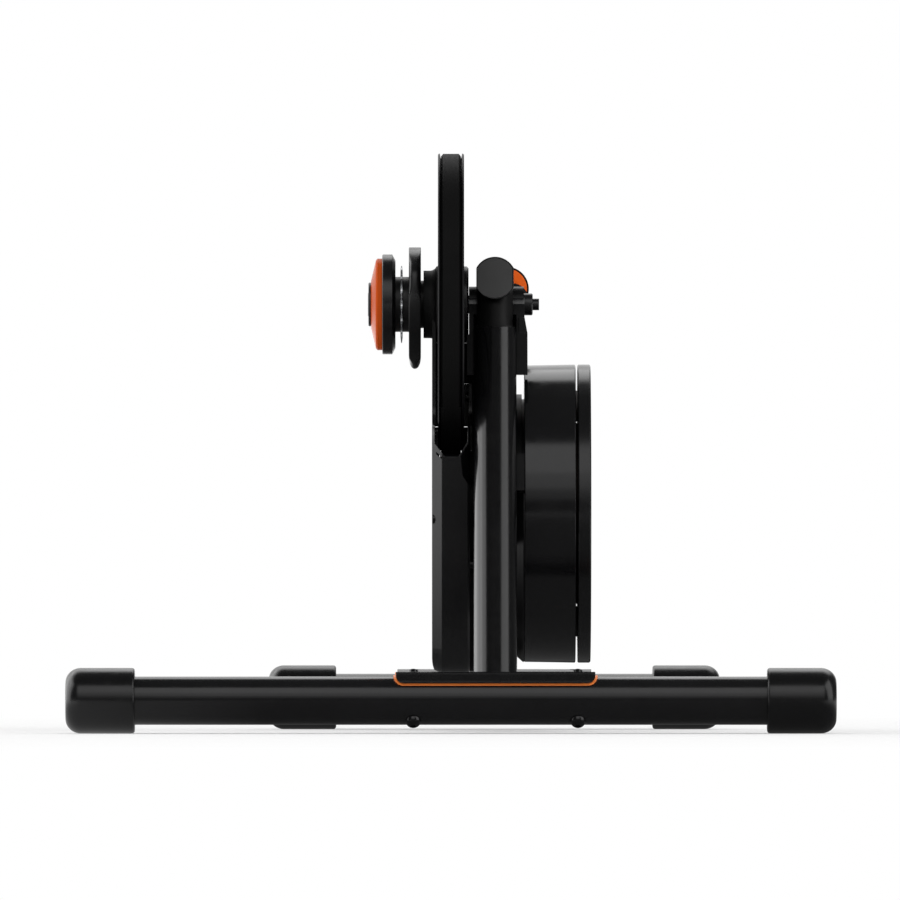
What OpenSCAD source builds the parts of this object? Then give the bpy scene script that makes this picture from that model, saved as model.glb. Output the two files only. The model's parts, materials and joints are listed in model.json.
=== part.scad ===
// Direct drive bike trainer: a wheel-off trainer with a belt-driven flywheel and a single cog.
// X runs from the drive side to the flywheel side, Y from front to back and Z up.
// The origin is on the floor, midway between the feet both ways.

/* [Stance] */
// Width over the front feet
front_span = 623; // [600:1:650]
// Width over the rear feet
rear_span = 375; // [350:1:420]
// Depth over the feet, front to back
stance_depth = 490; // [480:1:505]
// Height of the wheel axle above the floor
axle_h = 350; // [346:0.5:356]
// Sideways offset of the struts from the middle of the belt
frame_x = 36; // [35.6:0.1:37]

/* [Base tubes] */
// Height of a base tube
leg_h = 39; // [36:0.5:42]
// Depth of a base tube, front to back
leg_w = 44; // [41:0.5:46]
// Height of the flat band on a base tube's sides
leg_flat = 2; // [1:0.5:8]
// Wall of a base tube
leg_wall = 2; // [1.6:0.1:3]

/* [Feet] */
// Height of a foot
foot_h = 53; // [50:0.5:56]
// Depth of a foot, front to back
foot_w = 56; // [53:0.5:60]
// Length of a foot along the tube
foot_l = 56; // [50:1:64]
// Rubber beyond the tube's end
foot_end = 8; // [6:0.5:14]
// Radius of a foot's outer corners
foot_r = 13; // [8:0.5:16]

/* [Saddles] */
// Length of a saddle along the tube
saddle_l = 161; // [150:1:175]
// Thickness of a saddle over the tube
saddle_t = 2.6; // [2:0.1:4]
// Extra depth of a saddle's inner side, where the bolts thread in
saddle_heel = 9; // [7:0.5:12]
// Thickness of the orange trim
trim_t = 1.2; // [0.8:0.1:1.8]
// Width of trim that shows round a saddle
trim_edge = 2; // [1:0.1:2.5]
// Distance between the two leg bolts of a saddle
bolt_pitch = 133; // [120:1:140]
// Diameter of a leg bolt
bolt_d = 8; // [7:0.5:9]

/* [Struts] */
// Diameter of a strut
strut_d = 35; // [34:0.5:36]
// Wall of a strut
strut_wall = 2.5; // [2:0.1:3.5]
// Depth of the front strut's top behind the axle, negative in front of it
front_top_y = -35; // [-38:0.5:-33]
// Drop of the front strut's top below the axle
front_top_drop = 19; // [17:0.5:21]
// Depth of the rear strut's top behind the axle
rear_top_y = 94; // [92:0.5:98]

/* [Handle] */
// Width of the handle
handle_w = 29.4; // [28:0.1:30]
// Height of the handle
handle_h = 33.6; // [32:0.1:35]
// Height of the handle's middle above the axle
handle_rise = 21; // [20:0.5:23]
// Depth of the handle's front face, ahead of the axle
handle_front = 42; // [40:0.5:45]
// Length of the grip
grip_l = 46; // [36:1:47]
// Thickness of the grip
grip_t = 2; // [1.5:0.1:3]

/* [Main casting] */
// Diameter of the axle boss
boss_d = 29.2; // [28:0.1:30]
// Length of the axle boss
boss_l = 45; // [44:0.5:46]
// Thickness of the web
web_t = 14; // [10:0.5:18]
// Diameter of the bearing carrier
carrier_d = 88; // [80:1:94]
// Drop of the flywheel's axis below the axle
fly_drop = 171.5; // [170:0.5:173]
// Depth of the flywheel's axis behind the axle
fly_y = 20; // [19:0.5:21]

/* [Belt drive] */
// Radius of the drive pulley over its flanges
pulley_r = 123.7; // [122:0.1:124.5]
// Width of the drive pulley
pulley_w = 21.4; // [20.6:0.1:22]
// Thickness of the drive pulley's dished web
pulley_web = 5; // [4:0.5:8]
// Number of belt ribs
belt_ribs = 7; // [5:1:7]
// Distance between belt ribs
rib_pitch = 2.34; // [2.3:0.01:2.36]
// Height of a belt rib
rib_h = 1.8; // [1.4:0.1:2]
// Thickness of the belt above its ribs
belt_back = 3.4; // [2.8:0.1:3.6]
// Radius under the belt on the small pulley
small_r = 20; // [18:0.1:22]
// Radius of the idler pulley
idler_r = 16; // [14:0.5:17]

/* [Belt guard] */
// Gap between the pulley and the guard's sides
guard_gap = 2.7; // [2.4:0.1:3]
// Wall of the guard
guard_wall = 2.1; // [1.8:0.1:2.4]
// Height of the guard's lowest edge above the floor
guard_bottom = 48; // [46:0.5:52]
// Thickness of a tower plate
tower_t = 3; // [2.5:0.1:3.4]
// Width of a tower plate
tower_w = 50; // [44:1:56]
// Radius where a tower plate meets the guard
tower_r = 18; // [12:1:22]

/* [Axle and hub] */
// Distance between the two faces that the bike's dropouts sit on
dropout_gap = 135; // [134:0.5:136]
// Diameter of the axle
axle_d = 15; // [14.5:0.1:15.5]
// Diameter of the quick-release skewer's hole
skewer_d = 5.2; // [5:0.1:6]
// Diameter of the axle end that sits in the dropout
nub_d = 9.6; // [9.4:0.1:10]
// Length of the axle end that sits in the dropout
nub_l = 5.2; // [4:0.1:6]

/* [Cog] */
// Number of teeth
cog_teeth = 14; // [12:1:15]
// Pitch of the chain
chain_pitch = 12.7; // [12.6:0.1:12.8]
// Diameter of the chain's rollers
roller_d = 7.75; // [7.6:0.05:7.9]
// Thickness of the cog
cog_t = 1.8; // [1.6:0.1:2.2]
// Distance of the cog's middle from the dropout face
cog_inset = 27.5; // [26.6:0.1:28]
// Radius of the outer cog guard
outer_guard_r = 41; // [39:0.2:42]
// Thickness of the inner cog guard
inner_guard_t = 9.4; // [8:0.2:9.6]
// Offset of the inner cog guard's lobes from the axle
lobe_offset = 12.8; // [11:0.2:14]
// Radius of one lobe
lobe_r = 39.8; // [38:0.2:41]

/* [Flywheel and brake] */
// Radius of the flywheel and of the brake drum
drum_r = 122.4; // [121:0.1:122.6]
// Width of the drum housing
drum_w = 42.1; // [40:0.1:45]
// Wall of the drum housing
drum_wall = 3.5; // [3:0.1:5]
// Thickness of the back cover
back_t = 10; // [9.5:0.1:10.5]
// Running gap between the drum and the flywheel
fly_gap = 1.7; // [1.5:0.1:2.5]
// Thickness of the flywheel at its rim
fly_t = 10.6; // [9:0.1:11.5]
// Outer radius of the flywheel's inner ring
ring_r = 101; // [99:0.5:102]
// Thickness of the flywheel's inner ring
ring_t = 10; // [8:0.5:11]
// Number of poles on the stator
poles = 12; // [8:1:14]

/* [Hidden] */
$fn = 72;
fit = 0.05;         // radial clearance of a shaft in its hole
slack = 0.25;       // gap between the belt and what it runs on
hull_fn = 40;       // circle facets inside a hull
far = 200;          // reach of a cutter past the piece it cuts

// Base
fly_h = axle_h - fly_drop;
leg_r = (leg_h - leg_flat) / 2;
leg_z = foot_h / 2;
leg_y = stance_depth / 2 - foot_w / 2;
saddle_out = trim_t + saddle_t;
saddle_top = leg_z + leg_h / 2 + saddle_out;
saddle_front_low = leg_h / 2 - 5.2;
saddle_rear_low = -leg_h / 8;
saddle_corner = 6;
saddle_face = leg_w / 2 - 1.8;
bolt_tilt = 55;
bolt_seat = leg_r;
bolt_head_r = bolt_d * 0.81;
bolt_head_h = bolt_d * 0.72;
bolt_corner = [-(leg_w / 2 - leg_r), -(leg_h / 2 - leg_r)];
foot_section_r = leg_r + (foot_h - leg_h) / 2 - 2;

// Struts
strut_r = strut_d / 2;
strut_foot_in = 5;
front_foot = [-leg_y + strut_foot_in, saddle_top];
rear_foot = [leg_y - strut_foot_in, saddle_top];
front_top = [front_top_y, axle_h - front_top_drop];
handle_z = axle_h + handle_rise;
rear_top = [rear_top_y, handle_z - handle_h / 2 - 8];
strut_dip = 12;

// Main casting
boss_r = boss_d / 2;
axle_r = axle_d / 2;
carrier_r = carrier_d / 2;
web_x0 = frame_x - web_t / 2;
web_x1 = frame_x + web_t / 2;

// Belt drive
pulley_half = pulley_w / 2;
belt_w = belt_ribs * rib_pitch;
belt_top_w = belt_w - 3.5;
rib_root = rib_pitch * 0.363;
rib_tip = rib_pitch * 0.15;
flange_gap = slack;
land_r = pulley_r - 0.2 - belt_back;
pitch_line = 0.8;
belt_ratio = (land_r + pitch_line) / (small_r + pitch_line);
idler_y = fly_y - 70;
idler_gap = 8.5;
idler_at = [idler_y, axle_h - sqrt(pow(pulley_r + idler_r + idler_gap, 2) - idler_y * idler_y)];
drive_wheel = [0, axle_h, land_r];
idler_wheel = [idler_at[0], idler_at[1], -(idler_r + slack + belt_back)];
small_wheel = [fly_y, fly_h, small_r];
BELT_WHEELS = [drive_wheel, idler_wheel, small_wheel];

// Belt guard: corners as depth, height and radius, seen from the side
guard_in = pulley_half + guard_gap;
guard_out = guard_in + guard_wall;
guard_split = -7.3;
guard_top = axle_h - 100;
guard_facet = 8;
guard_low_edge = 3.2;
guard_edge = 2;
corner_low_r = 28;
corner_top_r = 15;
GUARD_CORNERS = [
    [fly_y + 66, guard_top - corner_top_r, corner_top_r],
    [fly_y - 106, guard_top - corner_top_r, corner_top_r],
    [fly_y - 50, guard_bottom + corner_low_r, corner_low_r],
    [fly_y + 48, guard_bottom + corner_low_r, corner_low_r],
];
mouth_z = axle_h - pulley_r - 1.8;
mouth_slope = 11;
trumpet_r = 27.7;
trumpet_flare = 3.6;
trumpet_x0 = -22.5;

// Axle and hub stations along X
gap_shift = -0.5;
left_face = gap_shift - dropout_gap / 2;
right_face = gap_shift + dropout_gap / 2;
step_l = 7.3;
boss_x1 = right_face - step_l;
boss_x0 = boss_x1 - boss_l;
nub_x1 = right_face + nub_l;
bearing_w = 7;
bearing_r = 14;
hub_ring_r = 31.2;
hub_x1 = boss_x0 - 0.3;
hub_r = 24;
hub_x0 = trumpet_x0 + 2.9;
clutch_r = 18;
spigot_r = 13;
seat_r = 48;
flange_r = seat_r - 2;
hub_bolt_ring = seat_r - 10;

// Cog stations along X
cog_x = left_face + cog_inset;
cog_pitch_r = chain_pitch / (2 * sin(180 / cog_teeth));
cog_tip_r = cog_pitch_r + 3.1;
inner_guard_x1 = trumpet_x0 - 2.4;
inner_guard_x0 = inner_guard_x1 - inner_guard_t;
outer_guard_x1 = cog_x - 5;
outer_guard_x0 = outer_guard_x1 - 10.8;
cover_x0 = left_face + 2.4;
cover_r = outer_guard_r - 3.4;
lock_r = 19.2;
neck_r = 22.6;
spline_r = 17;

// Flywheel and brake stations along X
shaft_r = 8.5;
shaft_bearing_r = 20;
shaft_bearing_w = 12;
back_x0 = frame_x + strut_r - 3.5;
drum_x0 = back_x0 + back_t;
drum_x1 = drum_x0 + drum_w;
fly_x0 = drum_x1 + fly_gap;
fly_x1 = fly_x0 + fly_t;
step_r = 98;
groove_r = 94;
tube_r = 30;
ring_x0 = drum_x0 + drum_wall + 2.5;
dish_x = fly_x0 + 4.2;
hub_seat_x = fly_x0 + 1.4;
stator_r = ring_r - ring_t - 1.6;
stator_x0 = drum_x0 + drum_wall + 6;
stator_l = 22;
vent_rise = 75;

// Helpers

// Stands a child's Z along X and its X along Y, at depth y and height z, starting at x.
module along_x(y, z, x = 0) {
    translate([x, y, z]) rotate([90, 0, 90]) children();
}

// A profile drawn in depth and height, from x0 to x1.
module slab(x0, x1) {
    translate([x0, 0, 0]) rotate([90, 0, 90]) linear_extrude(height = x1 - x0) children();
}

// A ring or disc about an axis along X.
module ring_x(y, z, x0, x1, r_out, r_in = 0) {
    along_x(y, z, x0) difference() {
        cylinder(r = r_out, h = x1 - x0);
        if (r_in > 0) translate([0, 0, -1]) cylinder(r = r_in, h = x1 - x0 + 2);
    }
}

// A revolved profile about an axis along X: the profile's points are radius and X.
module turned(y, z) {
    along_x(y, z) rotate_extrude() children();
}

module rounded_rect(w, h, r) {
    square([w - 2 * r, h], center = true);
    square([w, h - 2 * r], center = true);
    for (sx = [-1, 1], sy = [-1, 1]) translate([sx * (w / 2 - r), sy * (h / 2 - r)]) circle(r);
}

// Direction of the belt's span from one wheel to the next; a wheel is depth, height, signed radius.
function span_dir(a, b) =
    atan2(b[1] - a[1], b[0] - a[0]) + asin((a[2] - b[2]) / norm([b[0] - a[0], b[1] - a[1]]));
function out_normal(t) = [sin(t), -cos(t)];
function touch(w, t) = [w[0], w[1]] + w[2] * out_normal(t);
function turn(a) = a - 360 * floor(a / 360);
function next(list, i, step = 1) = list[(i + step) % len(list)];

// The outline round a set of corners: the belt's rule for a tight loop, with discs for its corners.
module tight_outline(corners) {
    polygon([for (i = [0:len(corners) - 1])
        let (a = corners[i], b = next(corners, i), t = span_dir(a, b))
        each [touch(a, t), touch(b, t)]]);
    for (c = corners) translate([c[0], c[1]]) circle(c[2]);
}

// A strut's own axis: its Z runs from foot to top.
function strut_tilt(foot, top) = -atan2(top[0] - foot[0], top[1] - foot[1]);
function strut_len(foot, top) = norm(top - foot);

module strut_axis(foot, top, from_top = 0) {
    translate([frame_x, foot[0], foot[1]]) rotate([strut_tilt(foot, top), 0, 0])
        translate([0, 0, from_top * strut_len(foot, top)]) children();
}

// Base

module leg_section(grow = 0) {
    rounded_rect(leg_w + 2 * grow, leg_h + 2 * grow, leg_r + grow);
}

module base_tube(span, x, side) {
    reach = span / 2 - foot_end;
    translate([0, side * leg_y, leg_z]) difference() {
        slab(x - reach, x + reach) leg_section();
        slab(x - reach - 1, x + reach + 1) leg_section(-leg_wall);
        leg_bolt_holes(side);
    }
}

module front_base_tube() {
    color("#1c1c1e") base_tube(front_span, 0, -1);
}

module rear_base_tube() {
    color("#1c1c1e") base_tube(rear_span, frame_x, 1);
}

// A foot's outline: big corners at its outer end, small ones at its rim.
module foot_end_outline(depth) {
    translate([foot_l * 0.4, 0]) rounded_rect(foot_l * 0.8, depth, foot_r);
    translate([foot_l * 0.6, 0]) rounded_rect(foot_l * 0.8, depth, 3);
}

// A rubber foot: x grows inward from the outer end.
module foot_body() {
    difference() {
        intersection() {
            rotate([90, 0, 90]) linear_extrude(height = foot_l) rounded_rect(foot_w, foot_h, foot_section_r);
            rotate([90, 0, 0]) linear_extrude(height = foot_w + 2, center = true) foot_end_outline(foot_h);
            linear_extrude(height = foot_h + 2, center = true) foot_end_outline(foot_w);
        }
        translate([foot_end, 0, 0]) rotate([90, 0, 90]) linear_extrude(height = foot_l) leg_section();
    }
}

module foot(x, side_x, side_y) {
    color("#202022") translate([x, side_y * leg_y, leg_z]) mirror([side_x > 0 ? 1 : 0, 0, 0]) foot_body();
}

module front_drive_foot() {
    foot(-front_span / 2, -1, -1);
}

module front_flywheel_foot() {
    foot(front_span / 2, 1, -1);
}

module rear_drive_foot() {
    foot(frame_x - rear_span / 2, -1, 1);
}

module rear_flywheel_foot() {
    foot(frame_x + rear_span / 2, 1, 1);
}

// A saddle's section on the front leg: an upright face outside, its heel on the inner side.
module saddle_section(grow) {
    chamfer = 1.4;
    top = leg_h / 2 + grow;
    leg_section(grow);
    polygon([
        [0, 0], [-saddle_face, 0], [-saddle_face, top - chamfer], [-saddle_face + chamfer, top], [0, top],
    ]);
    translate([saddle_heel / 2, 0])
        rounded_rect(leg_w + 2 * grow + saddle_heel, leg_h + 2 * grow, leg_r + grow);
}

// Wraps the top of a leg: length, inner and outer offset from the tube, lowest edges.
module saddle_wrap(length, inner, outer, front_low, rear_low, corner, heel) {
    top = leg_h;
    for (half = [[-1, front_low], [1, rear_low]]) intersection() {
        slab(-length / 2, length / 2) difference() {
            if (heel) saddle_section(outer);
            else leg_section(outer);
            leg_section(inner);
        }
        translate([0, half[0] * far / 2, (top + half[1]) / 2]) rotate([90, 0, 0])
            linear_extrude(height = far, center = true) rounded_rect(length, top - half[1], corner);
    }
}

// Puts a child that is drawn for the front leg on the front (-1) or rear (1) leg.
module on_leg(side) {
    translate([frame_x, side * leg_y, leg_z]) mirror([0, side > 0 ? 1 : 0, 0]) children();
}

module bolt_axis() {
    for (s = [-1, 1]) translate([s * bolt_pitch / 2, bolt_corner[0], bolt_corner[1]])
        rotate([bolt_tilt - 90, 0, 0]) children();
}

module leg_bolt_holes(side) {
    translate([0, -side * leg_y, -leg_z]) on_leg(side)
        bolt_axis() translate([0, 0, -bolt_seat - 5]) cylinder(r = bolt_d / 2 + fit, h = leg_w + leg_h);
}

module saddle(side) {
    on_leg(side) difference() {
        saddle_wrap(saddle_l, trim_t, saddle_out, saddle_front_low, saddle_rear_low, saddle_corner, true);
        bolt_axis() cylinder(r = bolt_d / 2 + fit, h = far / 2);
    }
}

module trim(side) {
    on_leg(side) difference() {
        saddle_wrap(saddle_l + 2 * trim_edge, 0, trim_t, saddle_front_low - trim_edge,
            saddle_rear_low - trim_edge, saddle_corner + trim_edge, false);
        bolt_axis() cylinder(r = bolt_d / 2 + fit, h = far / 2);
    }
}

module front_saddle() {
    color("#1b1b1d") saddle(-1);
}

module rear_saddle() {
    color("#1b1b1d") saddle(1);
}

module front_trim() {
    color("#e8641e") trim(-1);
}

module rear_trim() {
    color("#e8641e") trim(1);
}

// Round-head bolts that enter the tube's lower outer corner and thread into the heel.
module leg_bolts(side, reach) {
    head_ball = (bolt_head_r * bolt_head_r + bolt_head_h * bolt_head_h) / (2 * bolt_head_h);
    on_leg(side) bolt_axis() difference() {
        union() {
            translate([0, 0, -bolt_seat]) cylinder(r = bolt_d / 2, h = bolt_seat + reach);
            intersection() {
                translate([0, 0, -bolt_seat - bolt_head_h + head_ball]) sphere(head_ball);
                translate([0, 0, -bolt_seat - bolt_head_h]) cylinder(r = bolt_head_r, h = bolt_head_h + 0.6);
            }
        }
        slab_of_leg();
        translate([0, 0, -bolt_seat - bolt_head_h - 1]) cylinder(r = bolt_d * 0.28, h = 3.2, $fn = 6);
    }
}

// The tube's rounded corner as a cutter, so that a bolt head sits down on it.
module slab_of_leg() {
    difference() {
        rotate([90, 0, 90]) difference() {
            translate([0, 0, -far / 4]) cylinder(r = bolt_seat, h = far / 2);
            translate([0, 0, -far / 2]) cylinder(r = bolt_seat - leg_wall, h = far);
        }
        cylinder(r = bolt_d / 2, h = far, center = true);
    }
}

module front_leg_bolts() {
    color("#2a2a2c") leg_bolts(-1, 29.9);
}

module rear_leg_bolts() {
    color("#2a2a2c") leg_bolts(1, 26.3);
}

// Frame

// The saddle's whole outline, as a cutter for the strut that stands on it.
module saddle_block(side) {
    on_leg(side) slab(-saddle_l / 2, saddle_l / 2) saddle_section(saddle_out);
}

// Everything above a height, as a cutter.
module above(z) {
    translate([-2 * far, -2 * far, z]) cube([4 * far, 4 * far, 2 * far]);
}

// A strut's bare tube; past its top by some length.
module strut_tube(foot, top, past = 0) {
    reach = strut_len(foot, top) + strut_dip + past;
    strut_axis(foot, top) translate([0, 0, -strut_dip]) difference() {
        cylinder(r = strut_r, h = reach);
        translate([0, 0, -1]) cylinder(r = strut_r - strut_wall, h = reach + 2);
    }
}

module front_strut() {
    color("#222224") difference() {
        strut_tube(front_foot, front_top, strut_r);
        saddle_block(-1);
        above(front_top[1]);
    }
}

module rear_strut() {
    color("#222224") difference() {
        strut_tube(rear_foot, rear_top);
        saddle_block(1);
    }
}

// The handle's section: a disc with two flat sides.
module handle_section(grow = 0) {
    intersection() {
        circle(d = handle_h + 2 * grow);
        square([handle_w + 2 * grow, handle_h + 2 * grow + 2], center = true);
    }
}

module handle_bar(y0, y1, grow = 0) {
    translate([frame_x, y1, handle_z]) rotate([90, 0, 0]) linear_extrude(height = y1 - y0) handle_section(grow);
}

handle_rear = rear_top_y + 15;
end_lug_r = 18.4;
end_lug = [frame_x + 9.8, handle_z - 7.1];
end_lug_y = rear_top_y - 12;
grip_y0 = 20;

// A sleeve that rises out of the rear strut into the handle, with a collar on the strut's mouth.
module rear_sleeve() {
    reach = (handle_z - rear_top[1]) / cos(strut_tilt(rear_foot, rear_top));
    strut_axis(rear_foot, rear_top, 1) {
        translate([0, 0, -30]) cylinder(r = strut_r - strut_wall - fit, h = 30);
        cylinder(d = handle_w + 3.4, h = 2.2);
        cylinder(d = handle_w, h = reach);
    }
}

// The front sleeve stands on the strut's level mouth, with a plug inside the strut.
module front_sleeve() {
    reach = (handle_z - front_top[1]) / cos(strut_tilt(front_foot, front_top));
    difference() {
        strut_axis(front_foot, front_top, 1) translate([0, 0, -40])
            cylinder(r = strut_r - strut_wall - fit, h = 40 + strut_r);
        above(front_top[1] + 0.6);
    }
    intersection() {
        above(front_top[1]);
        strut_axis(front_foot, front_top, 1) translate([0, 0, -far / 4])
            cylinder(d = handle_w, h = far / 4 + reach);
    }
    intersection() {
        above(front_top[1]);
        strut_axis(front_foot, front_top, 1) translate([0, 0, -far / 4])
            cylinder(d = handle_w + 1.6, h = far / 2);
        translate([0, 0, front_top[1] - far]) cube([far, 2 * far, 2 * (far + 1.2)], center = true);
    }
}

module handle() {
    color("#242426") difference() {
        union() {
            difference() {
                handle_bar(-handle_front, handle_rear);
                difference() {
                    handle_bar(grip_y0, grip_y0 + grip_l, 1);
                    handle_bar(grip_y0 - 1, grip_y0 + grip_l + 1, -grip_t);
                }
                handle_bar(-handle_front - 1, -handle_front + 2, -1.2);
            }
            front_sleeve();
            rear_sleeve();
            difference() {
                translate([end_lug[0], handle_rear, end_lug[1]]) rotate([90, 0, 0])
                    cylinder(r = end_lug_r, h = handle_rear - end_lug_y);
                strut_axis(rear_foot, rear_top)
                    cylinder(r = strut_r + fit, h = strut_len(rear_foot, rear_top) + fit);
            }
        }
        ring_x(0, axle_h, boss_x0 - 1, boss_x1 + 1, boss_r + fit);
        strut_axis(front_foot, front_top, 1) translate([0, 0, -50]) cylinder(r = 8, h = 70);
    }
}

module handle_grip() {
    color("#18181a") difference() {
        handle_bar(grip_y0, grip_y0 + grip_l);
        handle_bar(grip_y0 - 1, grip_y0 + grip_l + 1, -grip_t);
        for (i = [1:8]) translate([frame_x, grip_y0 + i * grip_l / 9, handle_z]) rotate([90, 0, 0])
            linear_extrude(height = 1.6, center = true) difference() {
                circle(d = handle_h + 4);
                circle(d = handle_h - 1.2);
            }
    }
}

// The end cap: a plain plate set in the handle's front face, with a small lip round it.
module handle_cap() {
    color("#343436") union() {
        handle_bar(-handle_front, -handle_front + 2, -1.2 - fit);
        handle_bar(-handle_front - 1.2, -handle_front, -0.4);
    }
}

module end_disc(r, at, y0, y1) {
    difference() {
        translate([at[0], y1, at[1]]) rotate([90, 0, 0]) cylinder(r = r, h = y1 - y0);
        handle_bar(y0 - 1, y1 + 1, fit);
        strut_axis(rear_foot, rear_top, 1) cylinder(d = handle_w + 2 * fit, h = far / 3);
        strut_axis(rear_foot, rear_top, 1) translate([0, 0, -1]) cylinder(d = handle_w + 3.5, h = 3.3);
    }
}

module end_collar() {
    color("#ff7a28") end_disc(end_lug_r - 1.6, end_lug, end_lug_y - 2, end_lug_y);
}

module end_plug() {
    color("#202022") end_disc(12.8, end_lug + [5, -8.2], end_lug_y - 4.5, end_lug_y - 2);
}

// Main casting

block_x0 = 13;
block_x1 = frame_x + 26.6;
block_z0 = axle_h - 58.3;
block_z1 = axle_h - 25;

function on_line(foot, top, z) = foot[0] + (z - foot[1]) * (top[0] - foot[0]) / (top[1] - foot[1]);
function on_strut(z) = on_line(front_foot, front_top, z);
function on_rear(z) = on_line(rear_foot, rear_top, z);

module spine_outline() {
    top = block_z0;
    polygon([
        [on_strut(top), top], [on_strut(block_z1), block_z1], [16, axle_h - 22],
        [fly_y + 30, fly_h + carrier_r - 12], [fly_y - 34, fly_h + carrier_r - 14],
    ]);
}

// One arm from the carrier to the middle of a strut.
module arm_outline(top_end, low_end, root) {
    polygon([[fly_y, fly_h - root], [fly_y, fly_h + root], top_end, low_end]);
}

module casting_web() {
    front_top_z = fly_h + 40;
    front_low_z = fly_h - 24;
    rear_top_z = fly_h + 10;
    rear_low_z = fly_h - 34;
    slab(web_x0, web_x1) difference() {
        union() {
            spine_outline();
            arm_outline([on_strut(front_top_z), front_top_z], [on_strut(front_low_z), front_low_z], 34);
            arm_outline([on_rear(rear_top_z), rear_top_z], [on_rear(rear_low_z), rear_low_z], 34);
            translate([fly_y, fly_h]) circle(carrier_r + 6);
        }
        for (w = [[-3, axle_h - 62, 12], [10, axle_h - 98, 13]]) translate([w[0], w[1]]) circle(w[2]);
    }
}

module casting_head() {
    slab(block_x0, block_x1) polygon([
        [on_strut(block_z0), block_z0], [-30, block_z0], [-12, block_z1], [on_strut(block_z1), block_z1],
    ]);
    difference() {
        slab(boss_x0, boss_x1 + 0.5) polygon([
            [on_strut(block_z1), block_z1], [-10, block_z1], [13.5, axle_h - 5], [0, axle_h],
            [-13, axle_h + 5], [on_strut(axle_h), axle_h],
        ]);
        handle_bar(-handle_front - 5, handle_rear, fit);
    }
    // the boss's neck widens into the block on the flywheel side
    translate([0, -12, 0]) rotate([90, 0, 0]) linear_extrude(height = 26) polygon([
        [boss_x1 - 4, block_z1 - 2], [block_x1, block_z1 - 2], [block_x1, block_z1 + 1],
        [boss_x1 + 0.5, block_z1 + 14], [boss_x1 - 4, block_z1 + 14],
    ]);
}

// The lands that close the gap between the web and the guard, and carry the guard's tower plate.
module casting_lands() {
    low = guard_bottom + 1;
    top = fly_h - 42;
    slab(guard_out, web_x1) translate([fly_y, (low + top) / 2]) rounded_rect(70, top - low, 8);
    slab(guard_out, web_x0 + 1) translate([-13, fly_h + 20]) square([26, guard_top - 20.2 - fly_h - 20]);
    slab(tower_x1, web_x0 + 1) translate([-13, fly_h + 20]) square([26, block_z0 + 1 - fly_h - 20]);
    slab(pulley_half - 1.2, web_x0 + 1) intersection() {
        translate([8, tower_top_z + 0.2]) square([14, block_z1 - tower_top_z]);
        difference() {
            translate([0, axle_h]) circle(rib_reach);
            translate([0, axle_h]) circle(hub_ring_r + 2);
        }
    }
}

// The lug that steadies the brake's housing against the front strut.
module casting_lug() {
    z0 = fly_h + 18.5;
    slab(frame_x, drum_x0 - 0.3) polygon([
        [on_strut(z0), z0], [on_strut(z0) + 32, z0],
        [on_strut(z0 + 30) + 26, z0 + 30], [on_strut(z0 + 30), z0 + 30],
    ]);
}

module main_casting() {
    color("#1d1d1f") difference() {
        union() {
            ring_x(0, axle_h, boss_x0, boss_x1, boss_r);
            casting_head();
            casting_web();
            ring_x(fly_y, fly_h, guard_out, back_x0, carrier_r);
            casting_lands();
            slab(web_x0, web_x1) translate([fly_y, fly_h - 50]) square([44, 60], center = true);
            casting_lug();
        }
        strut_axis(front_foot, front_top) translate([0, 0, -10])
            cylinder(r = strut_r + fit, h = strut_len(front_foot, front_top) + 10 + strut_r * 0.7);
        strut_axis(front_foot, front_top, 1) cylinder(d = handle_w + 2 * fit, h = far / 3);
        strut_axis(rear_foot, rear_top) translate([0, 0, -10])
            cylinder(r = strut_r + fit, h = strut_len(rear_foot, rear_top));
        ring_x(0, axle_h, boss_x0 - 1, boss_x1 + 1, axle_r + fit);
        ring_x(0, axle_h, boss_x1, boss_x1 + 2, 10);
        ring_x(0, axle_h, block_x0 - 1, boss_x0 - 0.15, hub_ring_r + 1);
        ring_x(fly_y, fly_h, guard_out - 1, back_x0 + 1, shaft_bearing_r - 6);
        ring_x(fly_y, fly_h, guard_out + 4.5, back_x0 + 1, shaft_bearing_r + 0.02);
        ring_x(fly_y, fly_h, drum_x0 - 4, drum_x0 + 8, drum_r + 1.2);
        ring_x(fly_y, fly_h, back_x0, drum_x0, step_r + 1);
        lead_hole();
        ring_x(0, tower_screw_z, guard_out - 1, web_x0 + 2, 2 + fit);
        ring_x(idler_pivot[0], idler_pivot[1], guard_out - 1, web_x0, 4 + fit);
    }
}

// Sealed ball bearing about an axis along X.
module bearing(y, z, x0, w, r_out, r_in) {
    shield = (r_out - r_in) * 0.22;
    turned(y, z) difference() {
        translate([r_in, x0]) square([r_out - r_in, w]);
        for (face = [x0, x0 + w]) translate([(r_in + r_out) / 2, face])
            square([r_out - r_in - 2 * shield, 0.8], center = true);
    }
}

shaft_bearing_x = [guard_out + 4.5, drum_x0 + 4];

module shaft_bearings() {
    color("#b8bcc2") for (x = shaft_bearing_x)
        bearing(fly_y, fly_h, x, shaft_bearing_w, shaft_bearing_r, shaft_r + fit);
}

// Belt guard

tower_x1 = guard_out - 1.1 + tower_t;
rib_reach = pulley_r - 19.7;
tower_screw_z = axle_h - 76;
tower_top_z = axle_h - 65;
idler_pivot = [fly_y - 46, fly_h - 42];
SCREWS = [
    [GUARD_CORNERS[1][0] + 3.5, mouth_z - 14], [GUARD_CORNERS[0][0] - 4, mouth_z - 14],
    [GUARD_CORNERS[2][0], GUARD_CORNERS[2][1]], [GUARD_CORNERS[3][0], GUARD_CORNERS[3][1]],
    [GUARD_CORNERS[1][0] + 9.6, fly_h - 4.5], [GUARD_CORNERS[0][0] - 2, fly_h - 20],
];

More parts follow.
